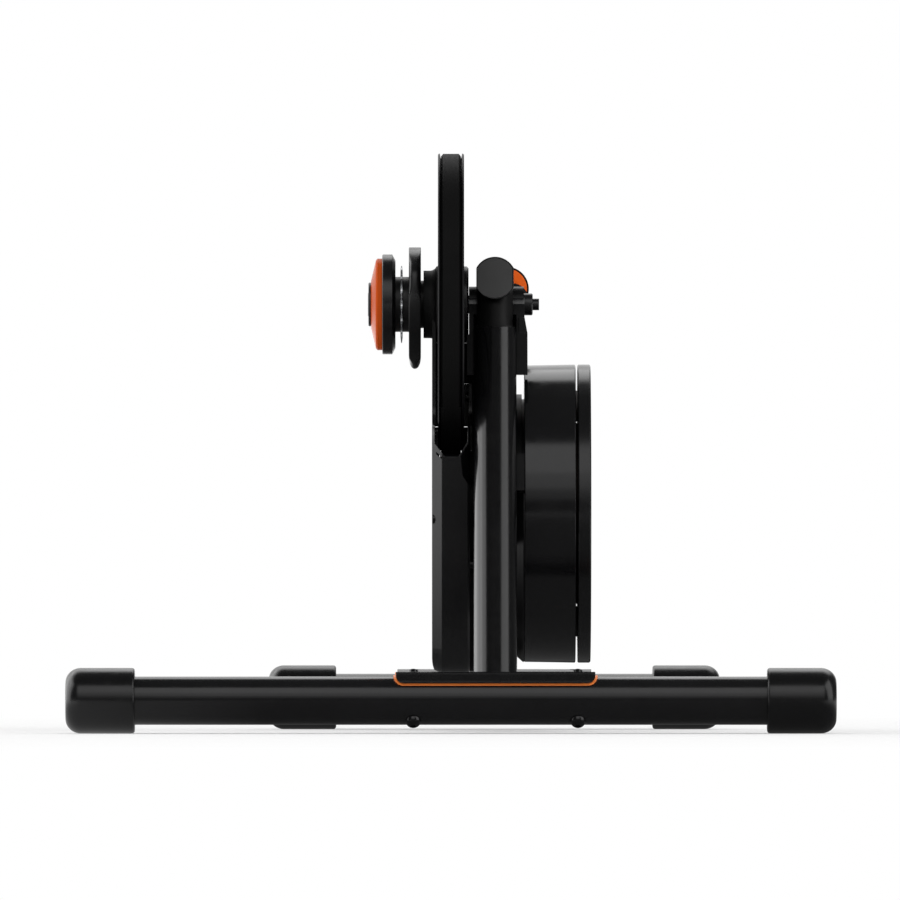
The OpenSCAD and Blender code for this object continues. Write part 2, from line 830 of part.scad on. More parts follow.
// The guard's outline with its front and rear edges drawn in by one size and its low edge by another.
function drawn_in(facet, low_edge, wall) = [for (c = GUARD_CORNERS)
    let (inward = c[0] < fly_y ? 1 : -1, edge = c[2] == corner_low_r ? low_edge : 0)
    [c[0] + inward * (facet - edge), c[1], c[2] - edge - wall]];

module guard_plate(x0, x1, wall = 0) {
    slab(x0, x1) hull() for (c = drawn_in(0, 0, wall)) translate([c[0], c[1]]) circle(c[2], $fn = hull_fn);
}

// The guard's lump with its outer face bevelled: full size over its first length, drawn in at x1.
module guard_lump(x0, full, x1, facet, low_edge, wall = 0) {
    thin = 0.2;
    s = x1 > x0 ? 1 : -1;
    hull() {
        for (c = drawn_in(0, 0, wall)) along_x(c[0], c[1], min(x0, x0 + s * full))
            cylinder(r = c[2], h = full, $fn = hull_fn);
        for (c = drawn_in(facet, low_edge, wall)) along_x(c[0], c[1], min(x1, x1 - s * thin))
            cylinder(r = c[2], h = thin, $fn = hull_fn);
    }
}

// The mouth that the pulley turns in, cut through front to back.
module mouth() {
    half = guard_in;
    translate([0, far, 0]) rotate([90, 0, 0]) linear_extrude(height = 2 * far) polygon([
        [-half, far * 2], [-half, mouth_z + mouth_slope], [-half + 8.4, mouth_z], [half - 7.2, mouth_z],
        [half, mouth_z + mouth_slope + 1], [half, far * 2],
    ]);
}

// A tower plate rises from the guard's side towards the hub, with a round cove at its foot.
module tower(x0, top) {
    slab(x0, x0 + tower_t) {
        translate([-tower_w / 2, guard_top - 20]) square([tower_w, top - guard_top + 20]);
        difference() {
            translate([-tower_w / 2 - tower_r, guard_top - 6]) square([tower_w + 2 * tower_r, tower_r + 6]);
            for (s = [-1, 1]) translate([s * (tower_w / 2 + tower_r), guard_top + tower_r]) circle(tower_r);
        }
    }
}

// A rib inside a tower plate that reaches into the pulley's dish and hides the gap beside its rim.
module tower_rib(x0, x1, top) {
    slab(x0, x1) intersection() {
        translate([8, guard_top - 2]) square([14, top - guard_top + 2]);
        difference() {
            translate([0, axle_h]) circle(rib_reach);
            translate([0, axle_h]) circle(hub_ring_r + 2);
        }
    }
}

module screw_boss(x0, x1) {
    for (s = SCREWS) ring_x(s[0], s[1], x0, x1, 5);
}

module screw_holes() {
    for (s = SCREWS) {
        ring_x(s[0], s[1], -guard_out - 1, guard_in, 2 + fit);
        ring_x(s[0], s[1], -guard_out - 1, -guard_in + 0.4, 4);
    }
}

// The round shroud on the drive side, flared where it nears the pulley.
module trumpet() {
    x1 = -pulley_half - 0.2;
    cove = 6;
    turned(0, axle_h) {
        translate([hub_r + 0.6, trumpet_x0]) square([trumpet_r - hub_r - 0.6, x1 - trumpet_x0 + 1.6]);
        translate([hub_r + 0.6, x1 - 0.1]) square([trumpet_r + trumpet_flare - hub_r - 0.6, 1.7]);
        difference() {
            translate([trumpet_r - 0.1, x1 - cove]) square([trumpet_flare + 0.1, cove]);
            translate([trumpet_r + cove, x1 - cove - 0.4]) circle(cove);
        }
    }
}

module guard_drive_shell() {
    color("#1f1f21") difference() {
        union() {
            difference() {
                guard_lump(guard_split, 0.2, -guard_out, guard_facet, guard_low_edge);
                guard_lump(guard_split + 1, 1.2, -guard_in, guard_facet, guard_low_edge, guard_wall);
            }
            intersection() {
                screw_boss(-guard_in - 0.5, guard_split);
                guard_lump(guard_split, 0.2, -guard_out, guard_facet, guard_low_edge);
            }
            difference() {
                tower(-guard_out, axle_h - 12);
                ring_x(0, axle_h, -guard_out - 1, 0, hub_r + 2);
            }
            tower_rib(-guard_out + tower_t - 0.2, -pulley_half + 1.2, axle_h - 12);
            trumpet();
        }
        mouth_below_tower();
        screw_holes();
        mouth_slot();
        low_corner();
    }
}

// Rounds the drive shell's lower outer corner, as seen from the front.
module low_corner() {
    w = 4.6;
    h = 12.5;
    translate([-guard_out, far, guard_bottom]) rotate([90, 0, 0])
        linear_extrude(height = 2 * far) polygon(concat(
        [[-1, -1], [-1, h]],
        [for (i = [0:6]) [w * (1 - cos(i * 15)), h * (1 - sin(i * 15))]],
        [[w, -1]]
    ));
}

// A narrow slot beside the mouth, through the drive shell's front.
module mouth_slot() {
    translate([0, -far / 3, 0]) rotate([90, 0, 0]) linear_extrude(height = far) polygon([
        [-guard_in + 1.3, mouth_z + 4], [-guard_in + 8.4, mouth_z - 2.6],
        [-guard_in + 7.6, mouth_z - 3.2], [-guard_in + 1.5, mouth_z + 2],
    ]);
}

// Behind the pulley the mouth is only as wide as the belt needs.
module mouth_below_tower() {
    behind = sqrt(pulley_r * pulley_r - (axle_h - guard_top) * (axle_h - guard_top)) + 2.2;
    slot = belt_w + 2.6;
    intersection() {
        mouth();
        translate([-far, -far, 0]) cube([2 * far, far + behind, guard_top]);
    }
    translate([-slot / 2, 0, mouth_z]) cube([slot, far, guard_top - mouth_z]);
}

// The frame shell's front corner slants back beside the strut, behind a thin lip round the mouth.
module corner_cut(grow = 0) {
    lip = 1.1;
    x0 = guard_in - 7.2 + lip;
    front = GUARD_CORNERS[1][0] - corner_top_r;
    intersection() {
        rotate([90, 0, 0]) linear_extrude(height = far) offset(delta = grow) polygon([
            [x0, mouth_z - 0.6], [guard_in + lip, mouth_z + mouth_slope + 0.4], [guard_in + lip, far * 2],
            [far, far * 2], [far, mouth_z - 23], [guard_in + lip, mouth_z - 23], [x0, mouth_z - 12],
        ]);
        linear_extrude(height = 2 * far) offset(delta = grow) polygon([
            [x0, front + 0.5], [guard_out + 0.6, front + 24], [far, front + 24], [far, -far], [x0 - 0.5, -far],
        ]);
    }
}

module frame_lump() {
    guard_lump(guard_split, guard_out - guard_edge - guard_split, guard_out, guard_edge, guard_edge);
}

module guard_frame_shell() {
    color("#1c1c1e") difference() {
        union() {
            difference() {
                frame_lump();
                guard_plate(guard_split - 1, guard_in, guard_wall);
            }
            intersection() {
                frame_lump();
                corner_cut(guard_wall);
            }
            screw_boss(guard_split, guard_in + 0.5);
            tower(guard_out - 1.1, tower_top_z);
            tower_rib(pulley_half - 1.2, guard_out - 1, tower_top_z);
            for (p = BOARD_POSTS) ring_x(p[0], p[1], board_x1, guard_in + 0.5, 3.5);
        }
        mouth_below_tower();
        corner_cut();
        screw_holes();
        ring_x(fly_y, fly_h, guard_in - 1, guard_out + 1, shaft_bearing_r - 6);
        ring_x(idler_pivot[0], idler_pivot[1], guard_in - 1, guard_out + 1, 4 + fit);
        ring_x(0, tower_screw_z, 0, far, 2 + fit);
        translate([inlet_x, far, inlet_z]) rotate([90, 0, 0]) cylinder(r = inlet_r + fit, h = far - fly_y);
        lead_hole();
    }
}

// Cap-head screws through the guard's bosses, and one that holds the tower plate to the casting.
module guard_screws() {
    color("#3a3a3d") {
        for (s = SCREWS) {
            ring_x(s[0], s[1], -guard_out + 0.4, -guard_in + 0.4, 3.6, 1.2);
            ring_x(s[0], s[1], -guard_in + 0.4, guard_in - 2, 2);
        }
        ring_x(0, tower_screw_z, guard_out - 3.2, guard_out - 1.1, 3.6);
        ring_x(0, tower_screw_z, guard_out - 1.2, web_x0, 2);
    }
}

// Control board, its lead and the power inlet

board_x0 = -5;
board_x1 = board_x0 + 1.6;
board_y0 = fly_y - 38;
board_w = 78;
board_z0 = guard_bottom + 14;
lead_r = 2.5;
lead_bend = 8;
lead_rise = 12.5;
lead_z = fly_h - 38;
board_h = lead_z - lead_bend - lead_rise - board_z0;
BOARD_POSTS = [for (sy = [0, 1], sz = [0, 1])
    [board_y0 + 5 + sy * (board_w - 10), board_z0 + 5 + sz * (board_h - 10)]];
inlet_r = 5.5;
inlet_x = 4;
inlet_z = guard_bottom + 52;
inlet_face = fly_y + 79;

module circuit_board() {
    color("#1d5a34") {
        translate([board_x0, board_y0, board_z0]) cube([1.6, board_w, board_h]);
        for (i = [0:2]) ring_x(board_y0 + 16 + i * 14, board_z0 + board_h * 0.28, board_x0 - 7, board_x0, 5);
        translate([board_x0 - 4, board_y0 + 22, board_z0 + board_h * 0.48]) cube([4, 22, board_h * 0.31]);
        translate([board_x1, board_y0 + 30, board_z0 + board_h - 12]) cube([5, 16, 12]);
    }
}

module power_inlet() {
    color("#2b2b2d") translate([inlet_x, inlet_face, inlet_z]) rotate([90, 0, 0]) {
        difference() {
            union() {
                cylinder(r = inlet_r, h = 16);
                cylinder(r = inlet_r + 1.6, h = 1.6);
            }
            translate([0, 0, -1]) cylinder(r = 3.2, h = 12);
        }
        cylinder(r = 1, h = 12);
    }
}

module lead_hole() {
    ring_x(fly_y, lead_z, 0, far, lead_r + 0.5);
}

// The lead climbs from the control board and bends into the brake.
module brake_lead() {
    x0 = board_x1 + lead_r;
    z0 = board_z0 + board_h;
    color("#252527") {
        translate([x0, fly_y, z0]) cylinder(r = lead_r, h = lead_z - lead_bend - z0);
        translate([x0 + lead_bend, fly_y, lead_z - lead_bend]) rotate([90, 0, 0]) rotate([0, 0, 90])
            rotate_extrude(angle = 90) translate([lead_bend, 0]) circle(lead_r);
        ring_x(fly_y, lead_z, x0 + lead_bend, coil_board_x - 0.2, lead_r);
    }
}

// Axle

AXLE_BEARINGS = [left_face + 9.5, left_face + 34, hub_x0 + 12.5, hub_x1 - bearing_w - 1];

module axle() {
    color("#9a9ca0") ring_x(0, axle_h, left_face + 6, boss_x1, axle_r, 4);
}

module axle_bearings() {
    color("#b8bcc2") for (x = AXLE_BEARINGS) bearing(0, axle_h, x, bearing_w, bearing_r, axle_r + fit);
}

module drive_end_cap() {
    color("#2a2a2c") turned(0, axle_h) difference() {
        union() {
            translate([0, left_face]) square([9.6, 6]);
            translate([0, left_face + 6]) square([4 - fit, 10]);
        }
        translate([-1, left_face - 1]) square([1 + skewer_d / 2, 20]);
    }
}

module axle_adapter() {
    chamfer = 0.8;
    color("#242426") turned(0, axle_h) polygon([
        [skewer_d / 2, right_face - 20], [4 - fit, right_face - 20], [4 - fit, boss_x1],
        [9, boss_x1], [9, right_face - chamfer], [9 - chamfer, right_face],
        [nub_d / 2, right_face], [nub_d / 2, nub_x1], [skewer_d / 2, nub_x1],
    ]);
}

// Drive pulley and belt

// Grooves as radius and X: each groove takes one belt rib with some slack.
function groove_points(land) = [for (i = [0:belt_ribs - 1])
    let (x = (i - (belt_ribs - 1) / 2) * rib_pitch)
    each [[land, x - rib_root - slack * 0.8], [land - rib_h - slack, x - rib_tip - slack * 0.5],
          [land - rib_h - slack, x + rib_tip + slack * 0.5], [land, x + rib_root + slack * 0.8]]];

module rim_profile() {
    land = land_r - slack * 0.8;
    inner = pulley_r - 15;
    edge = belt_w / 2 + flange_gap;
    polygon(concat(
        [[inner, -pulley_half], [pulley_r - 1, -pulley_half], [pulley_r, -pulley_half + 0.8],
         [pulley_r, -edge - 0.7], [land, -edge]],
        groove_points(land),
        [[land, edge], [pulley_r, edge + 0.7], [pulley_r, pulley_half - 0.8],
         [pulley_r - 1, pulley_half], [inner, pulley_half],
         [inner - 4, pulley_half - 3], [inner - 4, -pulley_half + 3]]
    ));
}

module drive_pulley() {
    color("#161617") difference() {
        union() {
            turned(0, axle_h) {
                rim_profile();
                translate([hub_r + 4, -pulley_web / 2]) square([pulley_r - 15 - hub_r, pulley_web]);
                translate([hub_r + 4, -pulley_half + 2]) square([seat_r - hub_r - 4, pulley_half - 2]);
            }
            for (i = [0:11]) along_x(0, axle_h) rotate([0, 0, i * 30])
                translate([seat_r - 0.5, -1.8, -pulley_half + 3])
                    cube([pulley_r - 17.5 - seat_r, 3.6, pulley_w - 6]);
        }
        hub_bolt_holes();
        for (i = [0:HUB_BOLTS - 1]) hub_bolt_at(i) translate([0, 0, -pulley_half]) cylinder(r = 4.5, h = 5);
    }
}

HUB_BOLTS = 6;

module hub_bolt_at(i) {
    along_x(0, axle_h) rotate([0, 0, i * 360 / HUB_BOLTS]) translate([hub_bolt_ring, 0, 0]) children();
}

module hub_bolt_holes() {
    for (i = [0:HUB_BOLTS - 1]) hub_bolt_at(i) translate([0, 0, -pulley_w])
        cylinder(r = 2.5 + fit, h = 2 * pulley_w);
}

// The hub: a barrel for the clutch and two bearings, and a flange that the pulley is bolted to.
module pulley_hub() {
    color("#2e2e31") difference() {
        union() {
            ring_x(0, axle_h, hub_x0, pulley_web / 2, hub_r);
            ring_x(0, axle_h, pulley_web / 2, pulley_half - 2, flange_r);
            turned(0, axle_h) polygon([
                [0, pulley_web / 2], [0, hub_x1], [hub_ring_r - 1.6, hub_x1], [hub_ring_r, hub_x1 - 1.4],
                [hub_ring_r, pulley_web / 2],
            ]);
        }
        ring_x(0, axle_h, hub_x0 - 1, hub_x1 + 1, bearing_r + fit);
        ring_x(0, axle_h, hub_x0 - 1, hub_x0 + 11, clutch_r + 0.02);
        hub_bolt_holes();
    }
}

module hub_bolts() {
    color("#3a3a3d") for (i = [0:HUB_BOLTS - 1]) hub_bolt_at(i) {
        translate([0, 0, -pulley_half + 2]) cylinder(r = 4.4, h = 3);
        translate([0, 0, -pulley_half + 2]) cylinder(r = 2.5, h = 2 * pulley_half - 4.5);
    }
}

module one_way_clutch() {
    color("#8c9096") ring_x(0, axle_h, hub_x0 + 0.6, hub_x0 + 10.6, clutch_r, spigot_r + fit);
}

// The belt's path at a distance outside the pulleys' lands; the idler runs on the belt's back.
module belt_loop(d) {
    wheels = [for (w = BELT_WHEELS) [w[0], w[1], w[2] + d]];
    difference() {
        union() {
            polygon([for (i = [0:len(wheels) - 1])
                let (a = wheels[i], b = next(wheels, i), t = span_dir(a, b))
                each [touch(a, t), touch(b, t)]]);
            for (w = wheels) if (w[2] > 0) translate([w[0], w[1]]) circle(w[2]);
        }
        for (w = wheels) if (w[2] < 0) translate([w[0], w[1]]) circle(-w[2]);
    }
}

// Rib sections: X is outward from the land line and Y is across the belt.
module rib_sections() {
    root_in = 0.6;
    for (i = [0:belt_ribs - 1]) translate([0, (i - (belt_ribs - 1) / 2) * rib_pitch]) polygon([
        [root_in, -rib_root], [-rib_h, -rib_tip], [-rib_h, rib_tip], [root_in, rib_root],
    ]);
}

// The ribs of one straight span and of the arc that follows it, each ending at a low bar across the belt.
module rib_run(i) {
    short = 0.3;
    a = BELT_WHEELS[i];
    b = next(BELT_WHEELS, i);
    c = next(BELT_WHEELS, i, 2);
    t = span_dir(a, b);
    t2 = span_dir(b, c);
    p = touch(a, t);
    step = asin(short / abs(b[2]));
    for (q = [p, touch(b, t)]) translate([q[0], q[1], 0]) rotate([0, 0, t])
        translate([-short - 0.1, -0.6, -belt_w / 2]) cube([2 * short + 0.2, 0.6 + slack / 2, belt_w]);
    translate([p[0], p[1], 0]) rotate([0, 0, t]) translate([short, 0, 0])
        rotate([90, 0, 90]) rotate([0, 0, 180])
        linear_extrude(height = norm(touch(b, t) - p) - 2 * short) rib_sections();
    if (b[2] > 0) translate([b[0], b[1], 0]) rotate([0, 0, t - 90 + step])
        rotate_extrude(angle = turn(t2 - t) - 2 * step) translate([b[2], 0]) rib_sections();
    else translate([b[0], b[1], 0]) rotate([0, 0, t2 + 90 + step])
        rotate_extrude(angle = turn(t - t2) - 2 * step) translate([-b[2], 0]) mirror([1, 0]) rib_sections();
}

// A ribbed belt: a flat band with ribs on its inside, its outer edges bevelled round the drive pulley.
module drive_belt() {
    half = belt_w / 2;
    top = belt_top_w / 2;
    on = span_dir(small_wheel, drive_wheel);
    off = span_dir(drive_wheel, idler_wheel);
    step = 7;
    color("#0f0f10") difference() {
        along_x(0, 0) {
            translate([0, 0, -half]) linear_extrude(height = belt_w) difference() {
                belt_loop(belt_back);
                belt_loop(0);
            }
            for (i = [0:len(BELT_WHEELS) - 1]) rib_run(i);
        }
        along_x(0, axle_h) rotate([0, 0, on - 90 + step]) rotate_extrude(angle = turn(off - on) - 2 * step)
            for (s = [-1, 1]) polygon([
                [land_r + 1.2, s * (half + 1)], [land_r + 1.2, s * half], [land_r + belt_back, s * top],
                [land_r + belt_back + 3, s * (top - (half - top) * 0.8)],
                [land_r + belt_back + 3, s * (half + 1)],
            ]);
    }
}

small_half = belt_w / 2 + 1.6;

module small_pulley() {
    land = small_r - slack * 0.8;
    edge = belt_w / 2 + flange_gap;
    color("#6e7176") turned(fly_y, fly_h) polygon(concat(
        [[shaft_r + 0.02, -small_half], [small_r + 3, -small_half], [small_r + 3, -edge], [land, -edge]],
        groove_points(land),
        [[land, edge], [small_r + 3, edge], [small_r + 3, small_half], [shaft_r + 0.02, small_half]]
    ));
}

module small_pulley_bolt() {
    color("#3a3a3d") {
        ring_x(fly_y, fly_h, -small_half - 2.6, -small_half, 11);
        ring_x(fly_y, fly_h, -small_half, -small_half + 14, 3.9);
    }
}

module flywheel_shaft() {
    color("#9a9ca0") difference() {
        union() {
            ring_x(fly_y, fly_h, -small_half, hub_seat_x, shaft_r);
            ring_x(fly_y, fly_h, small_half, guard_out + 4.3, shaft_r + 2.5);
            ring_x(fly_y, fly_h, hub_seat_x, fly_x1 - 1.5, 6);
        }
        ring_x(fly_y, fly_h, -small_half - 1, -small_half + 14.5, 3.95);
    }
}

// Idler

arm_x0 = belt_w / 2 + 1.6;
arm_t = 2.6;

module idler_arm() {
    color("#4a4c50") difference() {
        union() {
            slab(arm_x0, arm_x0 + arm_t) difference() {
                tight_outline([
                    [idler_pivot[0], idler_pivot[1], 10], [idler_at[0], idler_at[1], 8],
                ]);
                translate((idler_pivot + idler_at) / 2) circle(4.5);
            }
            ring_x(idler_at[0], idler_at[1], -arm_x0 + 0.4, arm_x0, 5);
            ring_x(idler_at[0], idler_at[1], -arm_x0 - 1.2, -arm_x0 + 0.4, 8);
        }
        ring_x(idler_pivot[0], idler_pivot[1], arm_x0 - 1, arm_x0 + arm_t + 1, 4 + fit);
    }
}

module idler_pulley() {
    color("#2b2b2d") turned(idler_at[0], idler_at[1]) polygon([
        [5 + fit, -arm_x0 + 0.7], [idler_r - 1, -arm_x0 + 0.7], [idler_r, -arm_x0 + 1.4],
        [idler_r, arm_x0 - 1.2], [idler_r - 1, arm_x0 - 0.4], [5 + fit, arm_x0 - 0.4],
    ]);
}

module idler_pivot_bolt() {
    x_head = arm_x0 - 12;
    color("#3a3a3d") {
        ring_x(idler_pivot[0], idler_pivot[1], x_head - 3, x_head, 7);
        ring_x(idler_pivot[0], idler_pivot[1], x_head, arm_x0 - 0.3, 5);
        ring_x(idler_pivot[0], idler_pivot[1], arm_x0 - 0.3, web_x0 - 2, 4);
    }
}

// The torsion spring winds round the pivot bolt, a helix of round wire.
spring_turns = 4;
spring_wire = 1.6;
spring_r = 6.4;
spring_steps = 14;
spring_sides = 6;

function coil_point(i, k) =
    let (a = 360 * i / spring_steps, b = 360 * k / spring_sides,
         r = spring_r + spring_wire / 2 * cos(b))
    [r * cos(a), r * sin(a), i / spring_steps * (spring_wire + 0.8) + spring_wire / 2 * sin(b)];

module idler_spring() {
    rings = spring_turns * spring_steps;
    pts = [for (i = [0:rings], k = [0:spring_sides - 1]) coil_point(i, k)];
    skin = [for (i = [0:rings - 1], k = [0:spring_sides - 1])
        let (a = i * spring_sides + k, b = i * spring_sides + (k + 1) % spring_sides)
        each [[a, a + spring_sides, b], [b, a + spring_sides, b + spring_sides]]];
    last = rings * spring_sides;
    color("#7c8086") along_x(idler_pivot[0], idler_pivot[1], arm_x0 - 11) polyhedron(pts, concat(
        skin,
        [for (k = [1:spring_sides - 2]) [0, k, k + 1]],
        [for (k = [1:spring_sides - 2]) [last, last + k + 1, last + k]]
    ));
}

// Cog and freehub

module freehub_body() {
    ridges = 9;
    x0 = left_face + 8;
    color("#7c8086") difference() {
        union() {
            ring_x(0, axle_h, x0, inner_guard_x1 + 0.2, spline_r - 1.2);
            for (i = [0:ridges - 1]) along_x(0, axle_h, x0) rotate([0, 0, i * 360 / ridges])
                translate([0, -2, 0]) intersection() {
                    cube([spline_r, 4, inner_guard_x1 - x0]);
                    translate([0, 2, 0]) cylinder(r = spline_r, h = 60);
                }
            ring_x(0, axle_h, inner_guard_x1, hub_x0 - 0.4, 19.5);
            ring_x(0, axle_h, hub_x0 - 0.5, hub_x0 + 11.5, spigot_r);
        }
        ring_x(0, axle_h, x0 - 1, hub_x0 - 5, bearing_r + fit);
        ring_x(0, axle_h, x0, far, axle_r + 0.7);
    }
}

// What slides on the splines: the hub's own section, a little larger.
module spline_bore(x0, x1) {
    ring_x(0, axle_h, x0, x1, spline_r + fit);
}

// The carrier clamps the cog between two necks.
module cog_carrier() {
    color("#202022") difference() {
        union() {
            ring_x(0, axle_h, cog_x + cog_t / 2, inner_guard_x0, neck_r);
            ring_x(0, axle_h, outer_guard_x1, cog_x + cog_t / 2, neck_r - 2.4);
            ring_x(0, axle_h, outer_guard_x1, cog_x - cog_t / 2, neck_r);
        }
        spline_bore(outer_guard_x1 - 1, inner_guard_x0 + 1);
    }
}

// One cog with round roller seats, open flanks and thin tips.
module cog() {
    tooth = 360 / cog_teeth;
    color("#c8ccd0") intersection() {
        along_x(0, axle_h, cog_x - cog_t / 2) linear_extrude(height = cog_t) difference() {
            circle(cog_tip_r);
            for (i = [0:cog_teeth - 1]) rotate(i * tooth) {
                translate([cog_pitch_r, 0]) circle(roller_d / 2);
                polygon([[cog_pitch_r, -roller_d / 2], [cog_pitch_r + 6, -roller_d / 2 - 3.2],
                         [cog_pitch_r + 6, roller_d / 2 + 3.2], [cog_pitch_r, roller_d / 2]]);
            }
            circle(neck_r - 2.4 + fit);
        }
        turned(0, axle_h) polygon([
            [0, cog_x - 2], [cog_pitch_r - 1.5, cog_x - cog_t / 2], [cog_tip_r, cog_x - 0.35],
            [cog_tip_r, cog_x + 0.35], [cog_pitch_r - 1.5, cog_x + cog_t / 2], [0, cog_x + 2],
        ]);
    }
}

module lobes() {
    corners = [for (a = [-90, 30, 150]) [lobe_offset * cos(a), lobe_offset * sin(a), lobe_r]];
    tight_outline(corners);
}

// Three-lobed guard: its lobes thin out towards their tips.
module inner_cog_guard() {
    mid = (inner_guard_x0 + inner_guard_x1) / 2;
    full = inner_guard_t / 2;
    tip = lobe_offset + lobe_r;
    color("#1b1b1d") difference() {
        intersection() {
            along_x(0, axle_h, inner_guard_x0) linear_extrude(height = inner_guard_t) lobes();
            turned(0, axle_h) polygon([
                [0, inner_guard_x0], [tip - 11, inner_guard_x0], [tip - 5.8, mid - full * 0.76],
                [tip - 2.8, mid - full * 0.54], [tip, mid - full * 0.24], [tip, mid + full * 0.24],
                [tip - 2.8, mid + full * 0.54], [tip - 5.8, mid + full * 0.76],
                [tip - 11, inner_guard_x1], [0, inner_guard_x1],
            ]);
        }
        spline_bore(inner_guard_x0 - 1, inner_guard_x1 + 1);
        for (a = [90, 210, 330]) along_x(0, axle_h, inner_guard_x0 - 0.1) rotate([0, 0, a])
            translate([lobe_r - 10, -7, 0]) cube([20, 14, 1.6]);
    }
}

module outer_cog_guard() {
    color("#1e1e20") difference() {
        turned(0, axle_h) polygon([
            [0, outer_guard_x0], [outer_guard_r - 0.6, outer_guard_x0], [outer_guard_r, outer_guard_x0 + 0.6],
            [outer_guard_r, outer_guard_x1 - 2.6], [outer_guard_r - 5.1, outer_guard_x1], [0, outer_guard_x1],
        ]);
        spline_bore(outer_guard_x0 - 1, outer_guard_x1 + 1);
    }
}

module cog_cover() {
    rim_x = outer_guard_x0 - 5.3;
    color("#ff7a28") turned(0, axle_h) polygon([
        [lock_r - 1.2, cover_x0 + 0.4], [lock_r, cover_x0], [cover_r - 1.4, rim_x], [cover_r, rim_x + 1.4],
        [cover_r, outer_guard_x0], [spline_r + 1, outer_guard_x0], [spline_r + 1, cover_x0 + 3],
        [lock_r - 1.2, cover_x0 + 3],
    ]);
}

// The lock ring screws into the freehub's mouth and holds the stack together.
module lock_ring() {
    color("#232325") difference() {
        turned(0, axle_h) polygon([
            [0, left_face + 0.3], [lock_r - 2, left_face + 0.3], [lock_r - 1.3, left_face + 0.9],
            [lock_r - 1.3, cover_x0 + 2.9], [spline_r, cover_x0 + 2.9], [spline_r, left_face + 7.9],
            [0, left_face + 7.9],
        ]);
        ring_x(0, axle_h, left_face - 1, left_face + 20, 10);
    }
}

// Brake and flywheel

module back_cover() {
    cut_z = fly_h + 18;
    color("#1a1a1c") difference() {
        union() {
            intersection() {
                turned(fly_y, fly_h) polygon([
                    [0, back_x0], [drum_r - 8.5, back_x0], [drum_r - 0.6, drum_x0 - 1], [drum_r - 0.6, drum_x0],
                    [0, drum_x0],
                ]);
                slab(back_x0 - 1, drum_x0 + 1) polygon([
                    [-far, 0], [2 * far, 0], [2 * far, cut_z], [fly_y, cut_z + 20], [-far, cut_z - 20],
                ]);
            }
            ring_x(fly_y, fly_h, back_x0, drum_x0 - 2, step_r);
            ring_x(fly_y, fly_h, drum_x0 - 2.1, drum_x0, groove_r);
            ring_x(fly_y, fly_h, drum_x0 - 0.1, stator_x0 + stator_l, tube_r);
        }
        ring_x(fly_y, fly_h, back_x0 - 1, stator_x0 + stator_l + 1, shaft_r + 3);
        ring_x(fly_y, fly_h, shaft_bearing_x[1], stator_x0 + stator_l + 1, shaft_bearing_r + 0.02);
        lead_hole();
    }
}

module drum_housing() {
    color("#1b1b1d") difference() {
        turned(fly_y, fly_h) polygon([
            [tube_r + fit, drum_x0], [drum_r - 1.2, drum_x0], [drum_r - 0.7, drum_x0 + 0.6],
            [drum_r, drum_x1 - 0.8], [drum_r - 0.8, drum_x1], [drum_r - drum_wall, drum_x1],
            [drum_r - drum_wall, drum_x0 + drum_wall], [tube_r + fit, drum_x0 + drum_wall],
        ]);
        lead_hole();
    }
}

function pole_angle(i) = i * 360 / poles + 15;

module stator_core() {
    color("#5c5f64") along_x(fly_y, fly_h, stator_x0) linear_extrude(height = stator_l - 2) difference() {
        union() {
            circle(tube_r + 14);
            for (i = [0:poles - 1]) rotate(pole_angle(i)) translate([tube_r, -5])
                square([stator_r - tube_r - 4, 10]);
            difference() {
                circle(stator_r);
                circle(stator_r - 5);
                for (i = [0:poles - 1]) rotate(pole_angle(i) + 180 / poles) translate([0, -3]) square([far, 6]);
            }
        }
        circle(tube_r + fit);
    }
}

module brake_coils() {
    length = stator_r - tube_r - 14 - 9;
    color("#b06a3a") for (i = [0:poles - 1]) along_x(fly_y, fly_h, stator_x0) rotate([0, 0, pole_angle(i)])
        translate([tube_r + 17, 0, (stator_l - 2) / 2]) difference() {
            translate([0, -8.5, -stator_l / 2 - 2]) cube([length, 17, stator_l + 4]);
            translate([-1, -5 - fit, -stator_l / 2 + 1 - fit])
                cube([length + 2, 10 + 2 * fit, stator_l - 2 + 2 * fit]);
        }
}

coil_board_x = drum_x0 + drum_wall;

module coil_board() {
    color("#1d5a34") ring_x(fly_y, fly_h, coil_board_x, coil_board_x + 1.6, stator_r - 6, tube_r + fit);
}

// Flywheel: a rim, a dished web and a hub that clamps on the shaft.
module flywheel_disc() {
    color("#1a1a1c") difference() {
        turned(fly_y, fly_h) polygon([
            [shaft_r + 0.02, fly_x0 - 7], [24, fly_x0 - 7], [24, fly_x0], [drum_r - 0.8, fly_x0],
            [drum_r, fly_x0 + 0.8], [drum_r, fly_x1 - 1], [drum_r - 1, fly_x1], [drum_r - 13, fly_x1],
            [drum_r - 17, dish_x], [26, dish_x], [24, hub_seat_x + 3.5], [14, hub_seat_x + 3.5],
            [14, hub_seat_x], [shaft_r + 0.02, hub_seat_x],
        ]);
        for (i = [0:5]) fly_bolt_at(i) translate([0, 0, fly_x0 - 1]) cylinder(r = 3 + fit, h = fly_t);
    }
}

module fly_bolt_at(i) {
    along_x(fly_y, fly_h) rotate([0, 0, i * 60]) translate([ring_r - ring_t / 2, 0, 0]) children();
}

// The ring turns round the stator's poles; two vents cross its seat from front to back.
module flywheel_ring() {
    color("#8a5a3c") difference() {
        ring_x(fly_y, fly_h, ring_x0, fly_x0, ring_r, ring_r - ring_t);
        for (s = [-1, 1]) translate([fly_x0 - fly_gap, -far, fly_h + s * vent_rise - 1])
            cube([fly_gap + 1, 2 * far, 2]);
        for (i = [0:5]) fly_bolt_at(i) translate([0, 0, fly_x0 - 14]) cylinder(r = 3 + fit, h = 20);
    }
}

